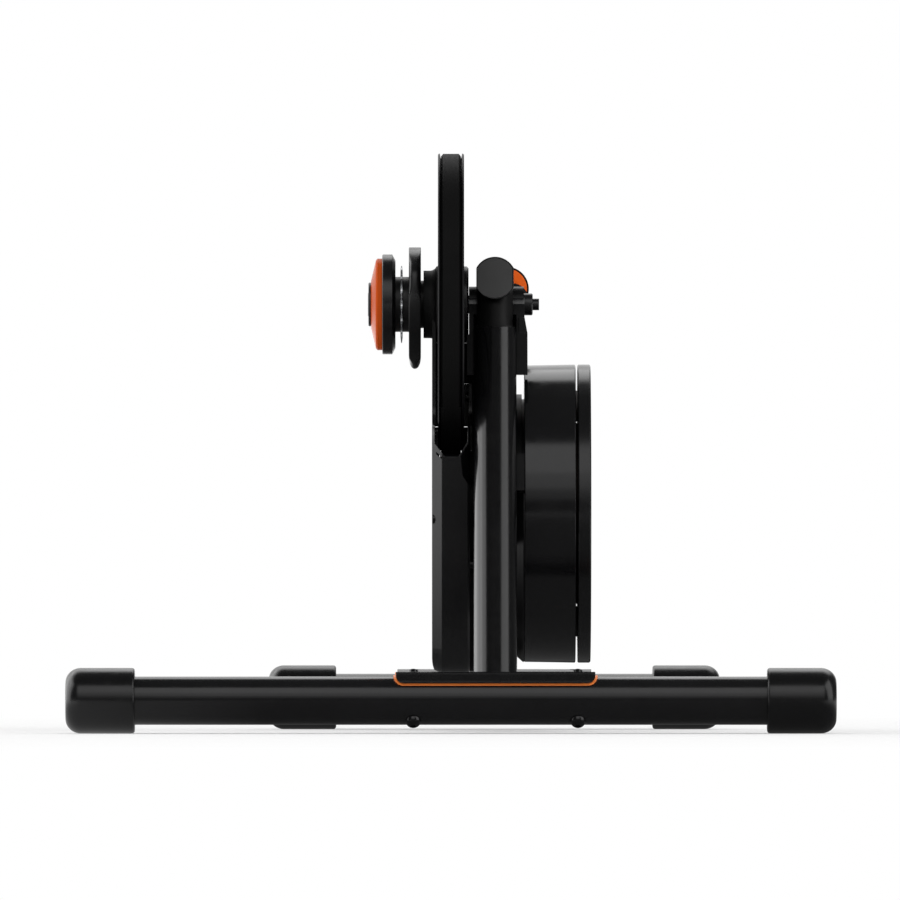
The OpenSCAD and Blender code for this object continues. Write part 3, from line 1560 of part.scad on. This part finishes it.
module flywheel_bolts() {
    color("#3a3a3d") for (i = [0:5]) fly_bolt_at(i) difference() {
        union() {
            translate([0, 0, dish_x]) cylinder(r = 5, h = 3);
            translate([0, 0, fly_x0 - 13]) cylinder(r = 3, h = dish_x - fly_x0 + 13);
        }
        translate([0, 0, dish_x + 1.2]) cylinder(r = 2, h = 3, $fn = 6);
    }
}

module flywheel_nut() {
    color("#3a3a3d") along_x(fly_y, fly_h, hub_seat_x + fit) difference() {
        union() {
            cylinder(r = 11, h = 5.4, $fn = 6);
            cylinder(r = 12.5, h = 1.4);
        }
        translate([0, 0, -1]) cylinder(r = 6 + fit, h = 10);
    }
}

front_base_tube();
rear_base_tube();
front_drive_foot();
front_flywheel_foot();
rear_drive_foot();
rear_flywheel_foot();
front_saddle();
rear_saddle();
front_trim();
rear_trim();
front_leg_bolts();
rear_leg_bolts();
front_strut();
rear_strut();
handle();
handle_grip();
handle_cap();
end_collar();
end_plug();
main_casting();
shaft_bearings();
guard_drive_shell();
guard_frame_shell();
guard_screws();
circuit_board();
power_inlet();
brake_lead();
axle();
axle_bearings();
drive_end_cap();
axle_adapter();
drive_pulley();
pulley_hub();
hub_bolts();
one_way_clutch();
drive_belt();
small_pulley();
small_pulley_bolt();
flywheel_shaft();
idler_arm();
idler_pulley();
idler_pivot_bolt();
idler_spring();
freehub_body();
cog_carrier();
cog();
inner_cog_guard();
outer_cog_guard();
cog_cover();
lock_ring();
back_cover();
drum_housing();
stator_core();
brake_coils();
coil_board();
flywheel_disc();
flywheel_ring();
flywheel_bolts();
flywheel_nut();
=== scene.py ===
import json
import math

import bmesh
import bpy
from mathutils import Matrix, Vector


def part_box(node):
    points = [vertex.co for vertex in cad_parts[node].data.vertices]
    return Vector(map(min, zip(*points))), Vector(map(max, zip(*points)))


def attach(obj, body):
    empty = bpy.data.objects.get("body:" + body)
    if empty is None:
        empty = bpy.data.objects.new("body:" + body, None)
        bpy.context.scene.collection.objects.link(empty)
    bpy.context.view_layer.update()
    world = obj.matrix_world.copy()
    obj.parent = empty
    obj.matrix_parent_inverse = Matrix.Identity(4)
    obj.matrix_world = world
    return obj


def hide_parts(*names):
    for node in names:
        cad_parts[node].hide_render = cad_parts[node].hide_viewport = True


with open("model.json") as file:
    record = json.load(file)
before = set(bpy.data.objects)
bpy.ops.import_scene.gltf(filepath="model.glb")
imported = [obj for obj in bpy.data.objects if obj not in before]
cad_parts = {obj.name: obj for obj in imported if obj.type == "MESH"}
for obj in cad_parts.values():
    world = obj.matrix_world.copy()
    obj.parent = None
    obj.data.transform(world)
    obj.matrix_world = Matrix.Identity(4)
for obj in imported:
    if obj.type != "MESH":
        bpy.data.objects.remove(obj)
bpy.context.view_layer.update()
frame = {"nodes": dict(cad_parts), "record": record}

# Places in metres, in the frame of the CAD model
MM = 0.001
AXLE_Z = 0.350
FLY_Y, FLY_Z = 0.020, 0.1785
STRUT_X = 36 * MM
STRUT_FOOT_Y, STRUT_FOOT_Z = 212 * MM, 49.8 * MM

# The camera is level with the lower third of the trainer, 15 m in front of the axle, on a very long lens
CAMERA_Y = -15.05
CAMERA_Z = 0.1265
FRAME_WIDTH = 0.738
SENSOR = 36.0
AIM = (-0.0008, 0.0, 0.2306)

# Light levels, where 1 is the white of the background
AMBIENT = 0.72      # the world, on matt surfaces
FRONT_DIM = 0.07    # the world in reflections, away from the backdrop
BACK_RIGHT = 0.04   # what is left of the backdrop at its right end
FLOOR_WHITE = 0.2   # share of plain white in the floor close to the trainer, to the camera
# In reflections the floor glows: a painted shadow close to the trainer, painted lamp light well to the left
# and right
FLOOR_NEAR_PAINTED_SHADOW = 0.11   # the floor in reflections, close to the trainer
FLOOR_LEFT_PAINTED_LIGHT = 1.7    # the same, well to the left
FLOOR_RIGHT_PAINTED_LIGHT = 1.2   # the same, well to the right

# How fine the noises of a finish are: colour clouds, smudges in its gloss, scuffs, dust and tool marks
CLOUDS, SMUDGES, SCUFFS, SPECKS, TOOL_MARKS = 28, 90, 420, 1300, 1600
# How bright dust, worn edges and the dulled part of a finish are, times its colour; the dulled part's
# darkening is painted shade
DUST_BRIGHT, WORN_BRIGHT, PAINTED_SHADE_BRIGHT = 4.0, 3.0, 0.35
# The height over which a finish goes dull and its colour darkens, as painted shade
DULL_AND_SHADE_BLEND = 6 * MM     # the height over which a finish goes dull
ROUGH_SWING = 0.03
COAT_ROUGH = 0.12
# The part of a noise's values that makes the clouds and smudges, the scuffs, and the specks of dust
NOISE_SPAN, SCUFF_SPAN, SPECK_SPAN = (0.3, 0.7), (0.42, 0.62), (0.62, 0.8)
# Where edge wear starts and is whole, as the cosine of how far a softened edge leans
EDGE_LEAN = (0.995, 0.85)
# Over how much more than its limit the rounding of a turned face fades out
LEAN_FADE = 1.6
SHARP_OVER = math.radians(32)


# Shader building

class Nodes:
    """The node tree of a material or a world, with short names for the nodes that are used here."""

    def __init__(self, owner):
        owner.use_nodes = True
        self.tree = owner.node_tree

    def feed(self, socket, value):
        """Link a socket to a node's output, or set it to a plain value."""
        if isinstance(value, bpy.types.NodeSocket):
            self.tree.links.new(value, socket)
        else:
            socket.default_value = value

    def fill(self, made, *values, **named):
        """Feed a node's inputs, by their order or by their names."""
        for socket, value in zip(made.inputs, values):
            self.feed(socket, value)
        for name, value in named.items():
            self.feed(made.inputs[name.replace("_", " ")], value)
        return made

    def node(self, kind, *values, operation=None, **named):
        made = self.tree.nodes.new("ShaderNode" + kind)
        if operation:
            made.operation = operation
        return self.fill(made, *values, **named)

    def math(self, operation, *values):
        return self.node("Math", *values, operation=operation).outputs[0]

    def vector(self, operation, *values, **named):
        made = self.node("VectorMath", *values, operation=operation, **named)
        return made.outputs["Value" if operation in ("DOT_PRODUCT", "LENGTH") else "Vector"]

    def remap(self, value, low, high, to_low, to_high, kind="LINEAR"):
        made = self.node("MapRange", Value=value, From_Min=low, From_Max=high, To_Min=to_low, To_Max=to_high)
        made.interpolation_type = kind
        return made.outputs[0]

    def mix(self, factor, a, b):
        return self.node("Mix", Factor=factor, A=a, B=b).outputs[0]

    def blend(self, factor, a, b):
        """Mix two colours, whose sockets come after those for plain numbers and vectors."""
        made = self.node("Mix")
        made.data_type = "RGBA"
        for index, value in ((0, factor), (6, a), (7, b)):
            self.feed(made.inputs[index], value)
        return made.outputs[2]

    def mix_shader(self, factor, a, b):
        return self.node("MixShader", factor, a, b).outputs[0]

    def in_reflections(self, path):
        """1 for what a glossy or clear surface sees, else 0."""
        return self.math("MAXIMUM", path.outputs["Is Glossy Ray"], path.outputs["Is Transmission Ray"])


class Shader(Nodes):
    """A node material with a Principled surface."""

    def __init__(self, name):
        self.material = bpy.data.materials.new(name)
        super().__init__(self.material)
        self.surface = self.tree.nodes["Principled BSDF"]
        self.coords = self.node("TexCoord").outputs["Object"]

    def noise(self, scale, detail=3.0, stretch=(1, 1, 1)):
        place = self.node("Mapping", Vector=self.coords, Scale=stretch).outputs[0]
        return self.node("TexNoise", Vector=place, Scale=scale, Detail=detail).outputs[0]

    def tool_marks(self, depth, height):
        """Rings round an axis along X, at a depth and height: noise that changes only along and outward."""
        place = self.node("SeparateXYZ", Vector=self.coords).outputs
        y = self.math("SUBTRACT", place["Y"], depth)
        z = self.math("SUBTRACT", place["Z"], height)
        out = self.math("SQRT", self.math("ADD", self.math("MULTIPLY", y, y), self.math("MULTIPLY", z, z)))
        rings = self.node("CombineXYZ", X=place["X"], Y=out).outputs[0]
        return self.node("TexNoise", Vector=rings, Scale=TOOL_MARKS, Detail=2.0).outputs[0]

    def turned_round(self, normal, point, along, limit=0.06):
        """Shade a turned face as a true round: the lean of its facets round the axis is taken out.

        The axis goes through a point, along a direction. A lean well over the limit is a real edge and stays.
        """
        place = self.node("NewGeometry").outputs["Position"]
        arm = self.vector("SUBTRACT", place, point)
        round_it = self.vector("NORMALIZE", self.vector("CROSS_PRODUCT", along, arm))
        lean = self.vector("DOT_PRODUCT", normal, round_it)
        small = self.remap(self.math("ABSOLUTE", lean), limit, limit * LEAN_FADE, 1.0, 0.0)
        taken_out = self.vector("SCALE", round_it, Scale=self.math("MULTIPLY", lean, small))
        return self.vector("NORMALIZE", self.vector("SUBTRACT", normal, taken_out))

    def bump(self, height, depth, normal):
        """Lift a normal by a height, to a depth in millimetres."""
        return self.node("Bump", Height=height, Strength=1.0, Distance=depth * MM, Normal=normal).outputs[0]

    def soft_edges(self, radius):
        made = self.node("Bevel", Radius=radius)
        made.samples = 4
        return made.outputs[0]

    def edge_mask(self, rounded):
        """1 along sharp edges, 0 on flats, from how far the rounded normal leans away."""
        flat = self.node("NewGeometry").outputs["True Normal"]
        return self.remap(self.vector("DOT_PRODUCT", rounded, flat), *EDGE_LEAN, 0.0, 1.0)


def linear(hex_colour):
    """A hex colour as the linear RGBA that a shader socket takes."""
    values = [int(hex_colour[i:i + 2], 16) / 255 for i in (1, 3, 5)]
    return tuple(v / 12.92 if v <= 0.04045 else ((v + 0.055) / 1.055) ** 2.4 for v in values) + (1.0,)


def scaled(colour, k):
    return tuple(min(1.0, c * k) for c in colour[:3]) + (1.0,)


def finish(name, colour, rough, metal=0.0, specular=0.5, grain=2600, depth=0.003, edge=0.5 * MM,
           wear=0.0, cloud=0.12, coat=0.0, streak=(1, 1, 1), dust=0.0, turned=None, turn_depth=0.004,
           round_on=None, dull_and_shaded_above=None):
    """The common finish: clouded colour, grained bump, uneven roughness and softened, worn edges.

    grain is how fine the bump is, depth and turn_depth are in millimetres, and edge is a radius in metres.
    turned is the depth and height of an axis along X: fine concentric tool marks run round it.
    round_on is a point on the axis of a round part and the axis's direction: it shades without facets.
    dull_and_shaded_above is a height and the roughness that the finish has above it; above that height the
    colour is also darkened, as painted shade.
    """
    s = Shader(name)
    base = linear(colour)
    tint = s.remap(s.noise(CLOUDS), *NOISE_SPAN, 0.0, 1.0)
    paint = s.blend(tint, scaled(base, 1 - cloud), scaled(base, 1 + cloud))
    if dust:
        specks = s.remap(s.noise(SPECKS, 2.0), *SPECK_SPAN, 0.0, dust)
        paint = s.blend(specks, paint, scaled(base, DUST_BRIGHT))
    normal = s.soft_edges(edge)
    if wear:
        scuffs = s.remap(s.noise(SCUFFS, 4.0), *SCUFF_SPAN, 0.0, wear)
        worn = s.math("MULTIPLY", s.edge_mask(normal), scuffs)
        paint = s.blend(worn, paint, scaled(base, WORN_BRIGHT))
    smudges = s.noise(SMUDGES, stretch=streak)
    roughness = s.remap(smudges, *NOISE_SPAN, rough - ROUGH_SWING, rough + ROUGH_SWING)
    # Above the height the colour is darkened as painted shade, and the roughness rises
    if dull_and_shaded_above:
        start, dull_rough = dull_and_shaded_above
        height = s.node("SeparateXYZ", Vector=s.coords).outputs["Z"]
        dulled_and_shaded = s.remap(height, start, start + DULL_AND_SHADE_BLEND, 0.0, 1.0)
        paint = s.blend(dulled_and_shaded, paint, scaled(base, PAINTED_SHADE_BRIGHT))
        roughness = s.math("ADD", roughness, s.math("MULTIPLY", dulled_and_shaded, dull_rough - rough))
    if round_on:
        normal = s.turned_round(normal, *round_on)
    normal = s.bump(s.noise(grain, stretch=streak), depth, normal)
    if turned:
        normal = s.bump(s.tool_marks(*turned), turn_depth, normal)
    s.fill(s.surface, Base_Color=paint, Roughness=roughness, Normal=normal, Metallic=metal,
           Specular_IOR_Level=specular)
    if coat:
        s.fill(s.surface, Coat_Weight=coat, Coat_Roughness=COAT_ROUGH)
    return s.material


# The axle and the flywheel's shaft, both along X: tool marks take a depth and a height, rounding a point
# and a direction
AXLE = (0.0, AXLE_Z)
FLY = (FLY_Y, FLY_Z)
ON_AXLE = ((0, 0, AXLE_Z), (1, 0, 0))
ON_FLY = ((0, FLY_Y, FLY_Z), (1, 0, 0))

# The finish of each material slot
SLOT_LOOKS = {
    "cast_black": dict(colour="#0a0a0b", rough=0.36, specular=0.25, grain=1100, depth=0.006, wear=0.2),
    "foot_rubber": dict(colour="#0b0b0c", rough=0.24, grain=1700, depth=0.002, edge=1.0 * MM, dust=0.03),
    "grip_rubber": dict(colour="#131314", rough=0.6, grain=1500, depth=0.012),
    "belt_rubber": dict(colour="#101010", rough=0.52, specular=0.04, grain=2400, depth=0.006,
                        streak=(6, 1, 1)),
    "guard_plastic": dict(colour="#151516", rough=0.24, grain=1900, depth=0.0012),
    "cap_plastic": dict(colour="#363636", rough=0.4, grain=2200, depth=0.004),
    "plug_plastic": dict(colour="#121213", rough=0.34, grain=2200, depth=0.004),
    "orange_trim": dict(colour="#ff8a40", rough=0.35, grain=2200, depth=0.002, cloud=0.03),
    "hub_anodised": dict(colour="#101011", rough=0.28, grain=3000, depth=0.002, wear=0.2, turned=AXLE),
    "cog_steel": dict(colour="#e8eaec", rough=0.32, metal=1.0, edge=0.9 * MM, grain=900, depth=0.006,
                      cloud=0.06, turned=AXLE),
    "steel": dict(colour="#8e9094", rough=0.3, metal=1.0, grain=700, depth=0.004, cloud=0.08, turned=AXLE),
    "bearing_steel": dict(colour="#b4b8bc", rough=0.2, metal=1.0, grain=900, depth=0.003, cloud=0.05),
    "fastener_black": dict(colour="#0b0b0c", rough=0.14, grain=1600, depth=0.001, wear=0.2),
    "pulley_steel": dict(colour="#6e7176", rough=0.35, metal=1.0, grain=800, depth=0.004, turned=FLY),
    "spring_steel": dict(colour="#7c8086", rough=0.3, metal=1.0, grain=900, depth=0.003),
    "arm_steel": dict(colour="#3c3e42", rough=0.4, metal=0.5, grain=1200, depth=0.006, wear=0.5),
    "copper": dict(colour="#a8602f", rough=0.32, metal=0.9, grain=1200, depth=0.01, streak=(1, 14, 14)),
    "ring_copper": dict(colour="#251d17", rough=0.45, metal=0.8, grain=1200, depth=0.004, turned=FLY),
    "lamination": dict(colour="#5c5f64", rough=0.45, metal=0.8, grain=1500, depth=0.02, streak=(20, 1, 1)),
    "board_green": dict(colour="#17492b", rough=0.35, grain=1400, depth=0.003, coat=0.4),
    "lead_black": dict(colour="#141415", rough=0.5, grain=1500, depth=0.004),
    "inlet_black": dict(colour="#161617", rough=0.4, grain=1800, depth=0.004),
}
MATERIALS = {slot: finish(slot, **look) for slot, look in SLOT_LOOKS.items()}


# Parts whose finish differs from the rest of their slot: the round ones shade without facets

def leg_axis(node):
    """The middle of a base tube and its direction."""
    low, high = (Vector(corner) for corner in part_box(node))
    return tuple((low + high) / 2), (1, 0, 0)


def strut_axis(foot_y, run, rise):
    """A strut's lower end, its direction, and a limit that takes in the wider lean of its facets."""
    return (STRUT_X, foot_y, STRUT_FOOT_Z), tuple(Vector((0, run, rise)).normalized()), 0.12


TUBE_COAT = dict(colour="#101011", rough=0.17, grain=1500, depth=0.0015, dust=0.04)
STRUT_COAT = dict(colour="#080809", rough=0.18, grain=1500, depth=0.0012)
SADDLE_COAT = dict(colour="#080809", rough=0.26, grain=1100, depth=0.004, edge=0.9 * MM, wear=0.1)
OWN_LOOKS = {
    "front_base_tube": finish("front_tube_coat", **TUBE_COAT, round_on=leg_axis("front_base_tube")),
    "rear_base_tube": finish("rear_tube_coat", **TUBE_COAT, round_on=leg_axis("rear_base_tube")),
    "front_strut": finish("front_strut_coat", **STRUT_COAT, round_on=strut_axis(-STRUT_FOOT_Y, 177, 281.2)),
    "rear_strut": finish("rear_strut_coat", **STRUT_COAT, round_on=strut_axis(STRUT_FOOT_Y, -118, 296.4)),
    "front_saddle": finish("saddle_coat", **SADDLE_COAT),
    "rear_saddle": finish("rear_saddle_coat", **SADDLE_COAT),
    "drum_housing": finish("drum_gloss", "#0e0e0f", 0.15, grain=1900, depth=0.0012, round_on=ON_FLY),
    "flywheel_disc": finish("flywheel_coat", "#0d0d0e", 0.21, grain=1500, depth=0.0015, wear=0.2,
                            turned=FLY, turn_depth=0.001, round_on=ON_FLY),
    "drive_pulley": finish("pulley_coat", "#0b0b0c", 0.4, specular=0.15, grain=1800, depth=0.003,
                           edge=0.12 * MM, wear=0.2, turned=AXLE, round_on=ON_AXLE),
    "cog_carrier": finish("carrier_black", "#141415", 0.38, specular=0.4, grain=1900, depth=0.002,
                          round_on=ON_AXLE),
    "freehub_body": finish("freehub_black", "#0d0d0e", 0.38, specular=0.35, grain=1900, depth=0.002,
                           turned=AXLE, round_on=ON_AXLE),
    "outer_cog_guard": finish("outer_guard_satin", "#101011", 0.24, grain=1900, depth=0.0025,
                              edge=0.2 * MM, round_on=ON_AXLE),
    "cog_cover": finish("cover_orange", "#b84a18", 0.18, specular=0.02, grain=2200, depth=0.0012,
                        cloud=0.02, round_on=ON_AXLE),
    "end_collar": finish("collar_orange", "#ff6a18", 0.35, specular=0.2, grain=2200, depth=0.0012,
                         cloud=0.02),
    "handle": finish("handle_coat", "#090909", 0.45, specular=0.2, grain=1100, depth=0.006, wear=0.1),
    # Above 290 mm the guard is painted darker, as shade, and made more matte
    "guard_drive_shell": finish("guard_drive_satin", "#151516", 0.24, grain=1900, depth=0.0012,
                                dull_and_shaded_above=(0.290, 0.6)),
}

for part in frame["record"]["subparts"]:
    mesh = frame["nodes"][part["node"]].data
    mesh.materials.clear()
    mesh.materials.append(OWN_LOOKS.get(part["node"]) or MATERIALS[part["material_slot"]])


# Pieces made here

def add_piece(name, rows, material, body, closed=False):
    """A mesh skinned between closed rows of points; closed joins the last row to the first."""
    count = len(rows[0])
    mesh = bpy.data.meshes.new(name)
    work = bmesh.new()
    grid = [[work.verts.new(point) for point in row] for row in rows]
    pairs = list(zip(grid, grid[1:])) + ([(grid[-1], grid[0])] if closed else [])
    for a, b in pairs:
        for i in range(count):
            j = (i + 1) % count
            work.faces.new((a[i], a[j], b[j], b[i]))
    if not closed:
        work.faces.new(grid[0])
        work.faces.new(grid[-1])
    bmesh.ops.recalc_face_normals(work, faces=work.faces)
    work.to_mesh(mesh)
    work.free()
    mesh.shade_smooth()
    mesh.set_sharp_from_angle(angle=SHARP_OVER)
    mesh.materials.append(material)
    piece = bpy.data.objects.new(name, mesh)
    bpy.context.scene.collection.objects.link(piece)
    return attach(piece, body) or piece


def whole_turn(steps):
    """Angles round a circle, without the last that would meet the first."""
    return [2 * math.pi * k / steps for k in range(steps)]


def quarter_turn(steps):
    """Angles from 0 to 90 degrees, with both ends."""
    return [math.pi / 2 * k / steps for k in range(steps + 1)]


def inner_guard():
    """The inner cog guard: three bowed sides of full width that meet in bullnosed corners, one at the bottom.

    Radii and depths are in millimetres. reach is how far the outline is from the axle, and nose is how far a
    point of it belongs to a bullnose, from 0 to 1.
    """
    low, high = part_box("inner_cog_guard")
    middle, half = (low[0] + high[0]) / 2, (high[0] - low[0]) / 2 + 0.2 * MM
    bow_sides, bow_radius, bow_off_axle, corner_hardness = (90, 210, 330), 64.4, 17.6, 44
    noses = ((-90, 1.0), (30, 0.6), (150, 0.6))
    nose_reach, nose_fade, nose_depth = math.radians(30), math.radians(20), 10
    bore, land, rim_share, recess, draft = 17.2, 21.5, 0.86, 1.1, 0.8

    outline = []
    for a in whole_turn(240):
        total = nose = 0.0
        for side in bow_sides:
            off = a - math.radians(side)
            half_chord = math.sqrt(bow_radius ** 2 - (bow_off_axle * math.sin(off)) ** 2)
            total += (half_chord - bow_off_axle * math.cos(off)) ** -corner_hardness
        for corner, amount in noses:
            away = abs((a - math.radians(corner) + math.pi) % (2 * math.pi) - math.pi)
            near = min(1.0, max(0.0, (nose_reach - away) / nose_fade))
            nose = max(nose, amount * near * near * (3 - 2 * near))
        outline.append((a, total ** (-1 / corner_hardness), nose))

    def ring(place):
        """A row of points, from a function that turns a reach and a nose into an x and a radius."""
        row = []
        for a, reach, nose in outline:
            x, radius = place(reach, nose)
            row.append((x, radius * MM * math.cos(a), AXLE_Z + radius * MM * math.sin(a)))
        return row

    def half_section(side, rim_steps=7):
        """Rows from the bore over a recessed face to just before the middle of the rim."""
        face, floor = middle + side * half, middle + side * (half - recess * MM)

        def on_rim(t, reach, nose):
            """Flat with small round edges where nose is 0, nearly a half ellipse where it is 1."""
            bend, drop = 0.22 + 0.7 * nose, 0.9 + 9.6 * nose
            return middle + side * half * math.cos(t) ** bend, reach - drop * (1 - math.sin(t) ** bend)

        places = [lambda reach, nose: (face, bore),
                  lambda reach, nose: (face, land),
                  lambda reach, nose: (floor, land + draft),
                  lambda reach, nose: (floor, (reach - nose_depth * nose) * rim_share - draft),
                  lambda reach, nose: (face, (reach - nose_depth * nose) * rim_share)]
        places += [lambda reach, nose, t=t: on_rim(t, reach, nose) for t in quarter_turn(rim_steps)[:-1]]
        return [ring(place) for place in places]

    rows = half_section(-1) + [ring(lambda reach, nose: (middle, reach))] + half_section(1)[::-1]
    satin = finish("inner_guard_satin", "#0c0c0d", 0.3, grain=1900, depth=0.0025)
    piece = add_piece("inner_guard_bowed", rows, satin, "cog_wheel", closed=True)
    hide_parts("inner_cog_guard")


def cap_lip():
    """A glossy bead round the handle's end cap, along the cap's round outline with its two flat sides."""
    radius, flat, bead = 16.75 * MM, 14.7 * MM, 0.6 * MM
    centre = Vector((STRUT_X, -42.9 * MM, 371 * MM))
    rows = []
    for t in whole_turn(10):
        row = []
        for a in whole_turn(160):
            x, z = radius * math.cos(a), radius * math.sin(a)
            out = Vector((math.cos(a), 0, math.sin(a)))
            if abs(x) > flat:
                out = Vector((math.copysign(1, x), 0, 0))
                x = math.copysign(flat, x)
            row.append(centre + Vector((x, bead * math.sin(t), z)) + out * bead * math.cos(t))
        rows.append(row)
    gloss = finish("lip_gloss", "#0b0b0c", 0.16, grain=1800, depth=0.001)
    piece = add_piece("cap_lip", rows, gloss, "frame", closed=True)


def foot(node, outward):
    """A moulded foot over the end of a base tube: round, with a filleted end and a soft lip round the tube.

    Each station is a place along X and how far the surface lies inside the foot's full round there.
    """
    low, high = (Vector(corner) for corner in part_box(node))
    centre = (low + high) / 2
    across, up = (high.y - low.y) / 2, (high.z - low.z) / 2
    end, mouth = (high.x, low.x) if outward > 0 else (low.x, high.x)
    pocket, bore, lead_in, lip = 12 * MM, 6.5 * MM, (0.8 * MM, 0.6 * MM), 2.2 * MM
    fillet_along, fillet_in = 12.5 * MM, 11.5 * MM
    dish, dish_rim, dish_wall, dish_middle = 0.5 * MM, across * 0.62, across * 0.66, across * 0.97

    stations = [(mouth + outward * pocket, bore), (mouth + outward * lead_in[0], bore),
                (mouth, bore - lead_in[1])]
    stations += [(mouth + outward * lip * (1 - math.cos(t)), lip * (1 - math.sin(t)))
                 for t in quarter_turn(6)]
    stations += [(mouth + (end - mouth) * k / 6, 0.0) for k in (1, 2, 3, 4)]
    stations += [(end - outward * fillet_along * (1 - math.sin(t)), fillet_in * (1 - math.cos(t)))
                 for t in quarter_turn(12)]
    stations += [(end, dish_rim), (end - outward * dish, dish_wall), (end - outward * dish, dish_middle)]
    rows = [[(x, centre.y + (across - inset) * math.cos(a), centre.z + (up - inset) * math.sin(a))
             for a in whole_turn(96)] for x, inset in stations]
    piece = add_piece(node + "_moulded", rows, MATERIALS["foot_rubber"], "frame")
    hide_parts(node)


inner_guard()
cap_lip()
for leg in ("front", "rear"):
    foot(leg + "_drive_foot", -1)
    foot(leg + "_flywheel_foot", 1)


# Stage

def studio_world():
    """White to the camera. Reflections see a white backdrop behind and left of the trainer, dim elsewhere.

    Each ramp runs along one part, from -1 to 1, of the direction that is looked in.
    """
    world = bpy.data.worlds.new("studio")
    bpy.context.scene.world = world
    n = Nodes(world)
    n.tree.nodes.clear()
    path = n.node("LightPath")
    way = n.node("SeparateXYZ", Vector=n.node("TexCoord").outputs["Generated"]).outputs
    behind = n.remap(way["Y"], 0.0, 0.3, 0.0, 1.0, "SMOOTHSTEP")
    below_top = n.remap(way["Z"], 0.76, 0.88, 1.0, 0.0, "SMOOTHSTEP")
    not_right = n.remap(way["X"], 0.1, 0.5, 1.0, BACK_RIGHT, "SMOOTHSTEP")
    backdrop = n.math("MULTIPLY", n.math("MULTIPLY", behind, below_top), not_right)
    mirrored = n.remap(backdrop, 0.0, 1.0, FRONT_DIM, 1.0, "SMOOTHSTEP")
    unseen = n.mix(n.in_reflections(path), AMBIENT, mirrored)
    strength = n.mix(path.outputs["Is Camera Ray"], unseen, 1.0)
    background = n.node("Background", Color=(1, 1, 1, 1), Strength=strength)
    n.node("OutputWorld", Surface=background.outputs[0])


# Each lamp's azimuth and elevation in degrees, then its distance, width, height and radiance. Azimuth 0 is
# the camera's side, positive right. They are far and large, so that a highlight keeps its place along a tube.
LAMPS = {
    "left_front": (-89, 23, 8.8, 4.0, 8.4, 1.9),
    "left_back": (-124, 20, 8.8, 6.8, 7.6, 1.35),
    "right_panel": (69, 29, 8.8, 6.8, 9.2, 1.5),
    "front_top": (0, 43, 10.4, 8.8, 4.6, 1.12),
    "front_middle": (0, 24.5, 10.4, 8.8, 2.12, 0.75),
    "front_low": (0, 14.5, 10.4, 8.8, 1.52, 0.3),
    "back_top": (180, 42, 9.6, 10.4, 4.0, 0.95),
}


def softbox(name, azimuth, elevation, distance, width, height, radiance):
    """A rectangular lamp aimed at the middle of the trainer."""
    data = bpy.data.lights.new(name, "AREA")
    data.shape = "RECTANGLE"
    data.size, data.size_y = width, height
    data.energy = radiance * math.pi * width * height
    lamp = bpy.data.objects.new(name, data)
    a, e = math.radians(azimuth), math.radians(elevation)
    out = Vector((math.sin(a) * math.cos(e), -math.cos(a) * math.cos(e), math.sin(e)))
    lamp.location = Vector(AIM) + out * distance
    lamp.rotation_mode = "QUATERNION"
    lamp.rotation_quaternion = out.to_track_quat("Z", "Y")
    lamp.visible_camera = False
    bpy.context.scene.collection.objects.link(lamp)


def make_floor():
    """A pale floor: white to the camera but for the shadow near the trainer. In reflections it glows instead
    of being lit: dim near the trainer, a painted shadow, and bright well to the left and right, painted lamp
    light.

    Each ramp runs from one distance or place to another, in metres.
    """
    reach = 40.0
    mesh = bpy.data.meshes.new("floor")
    mesh.from_pydata([(-reach, -reach, 0), (reach, -reach, 0), (reach, reach, 0), (-reach, reach, 0)], [],
                     [(0, 1, 2, 3)])
    floor = bpy.data.objects.new("floor", mesh)
    bpy.context.scene.collection.objects.link(floor)
    s = Shader("floor_paint")
    s.fill(s.surface, Base_Color=(0.8, 0.8, 0.8, 1), Roughness=0.9, Specular_IOR_Level=0.1)
    path = s.node("LightPath")
    place = s.node("SeparateXYZ", Vector=s.coords).outputs
    whiteness = s.remap(s.vector("LENGTH", s.coords), 0.45, 1.6, FLOOR_WHITE, 1.0)
    to_camera = s.mix_shader(s.math("MULTIPLY", path.outputs["Is Camera Ray"], whiteness),
                             s.surface.outputs[0], s.node("Emission", Strength=1.0).outputs[0])
    # Painted: what reflections see of the floor, a shadow close to the trainer and lamp light well to the
    # left and right
    behind = s.remap(place["Y"], 0.5, 1.4, FLOOR_NEAR_PAINTED_SHADOW, 1.0)
    left = s.remap(place["X"], -0.15, -0.8, FLOOR_NEAR_PAINTED_SHADOW, FLOOR_LEFT_PAINTED_LIGHT)
    right = s.remap(place["X"], 0.34, 0.8, FLOOR_NEAR_PAINTED_SHADOW, FLOOR_RIGHT_PAINTED_LIGHT)
    painted_floor_light = s.math("MAXIMUM", behind, s.math("MAXIMUM", left, right))
    mirrored = s.node("Emission", Strength=painted_floor_light).outputs[0]
    s.fill(s.tree.nodes["Material Output"], Surface=s.mix_shader(s.in_reflections(path), to_camera, mirrored))
    mesh.materials.append(s.material)


def make_camera():
    data = bpy.data.cameras.new("camera")
    data.sensor_width = SENSOR
    data.lens = SENSOR * -CAMERA_Y / FRAME_WIDTH
    data.clip_start, data.clip_end = 1.0, 60.0
    camera = bpy.data.objects.new("camera", data)
    bpy.context.scene.collection.objects.link(camera)
    camera.location = (0.0, CAMERA_Y, CAMERA_Z)
    camera.rotation_mode = "QUATERNION"
    camera.rotation_quaternion = (Vector(AIM) - camera.location).to_track_quat("-Z", "Y")
    bpy.context.scene.camera = camera


bpy.context.scene.view_settings.view_transform = "Standard"
studio_world()
make_camera()
make_floor()
for name, numbers in LAMPS.items():
    softbox(name, *numbers)
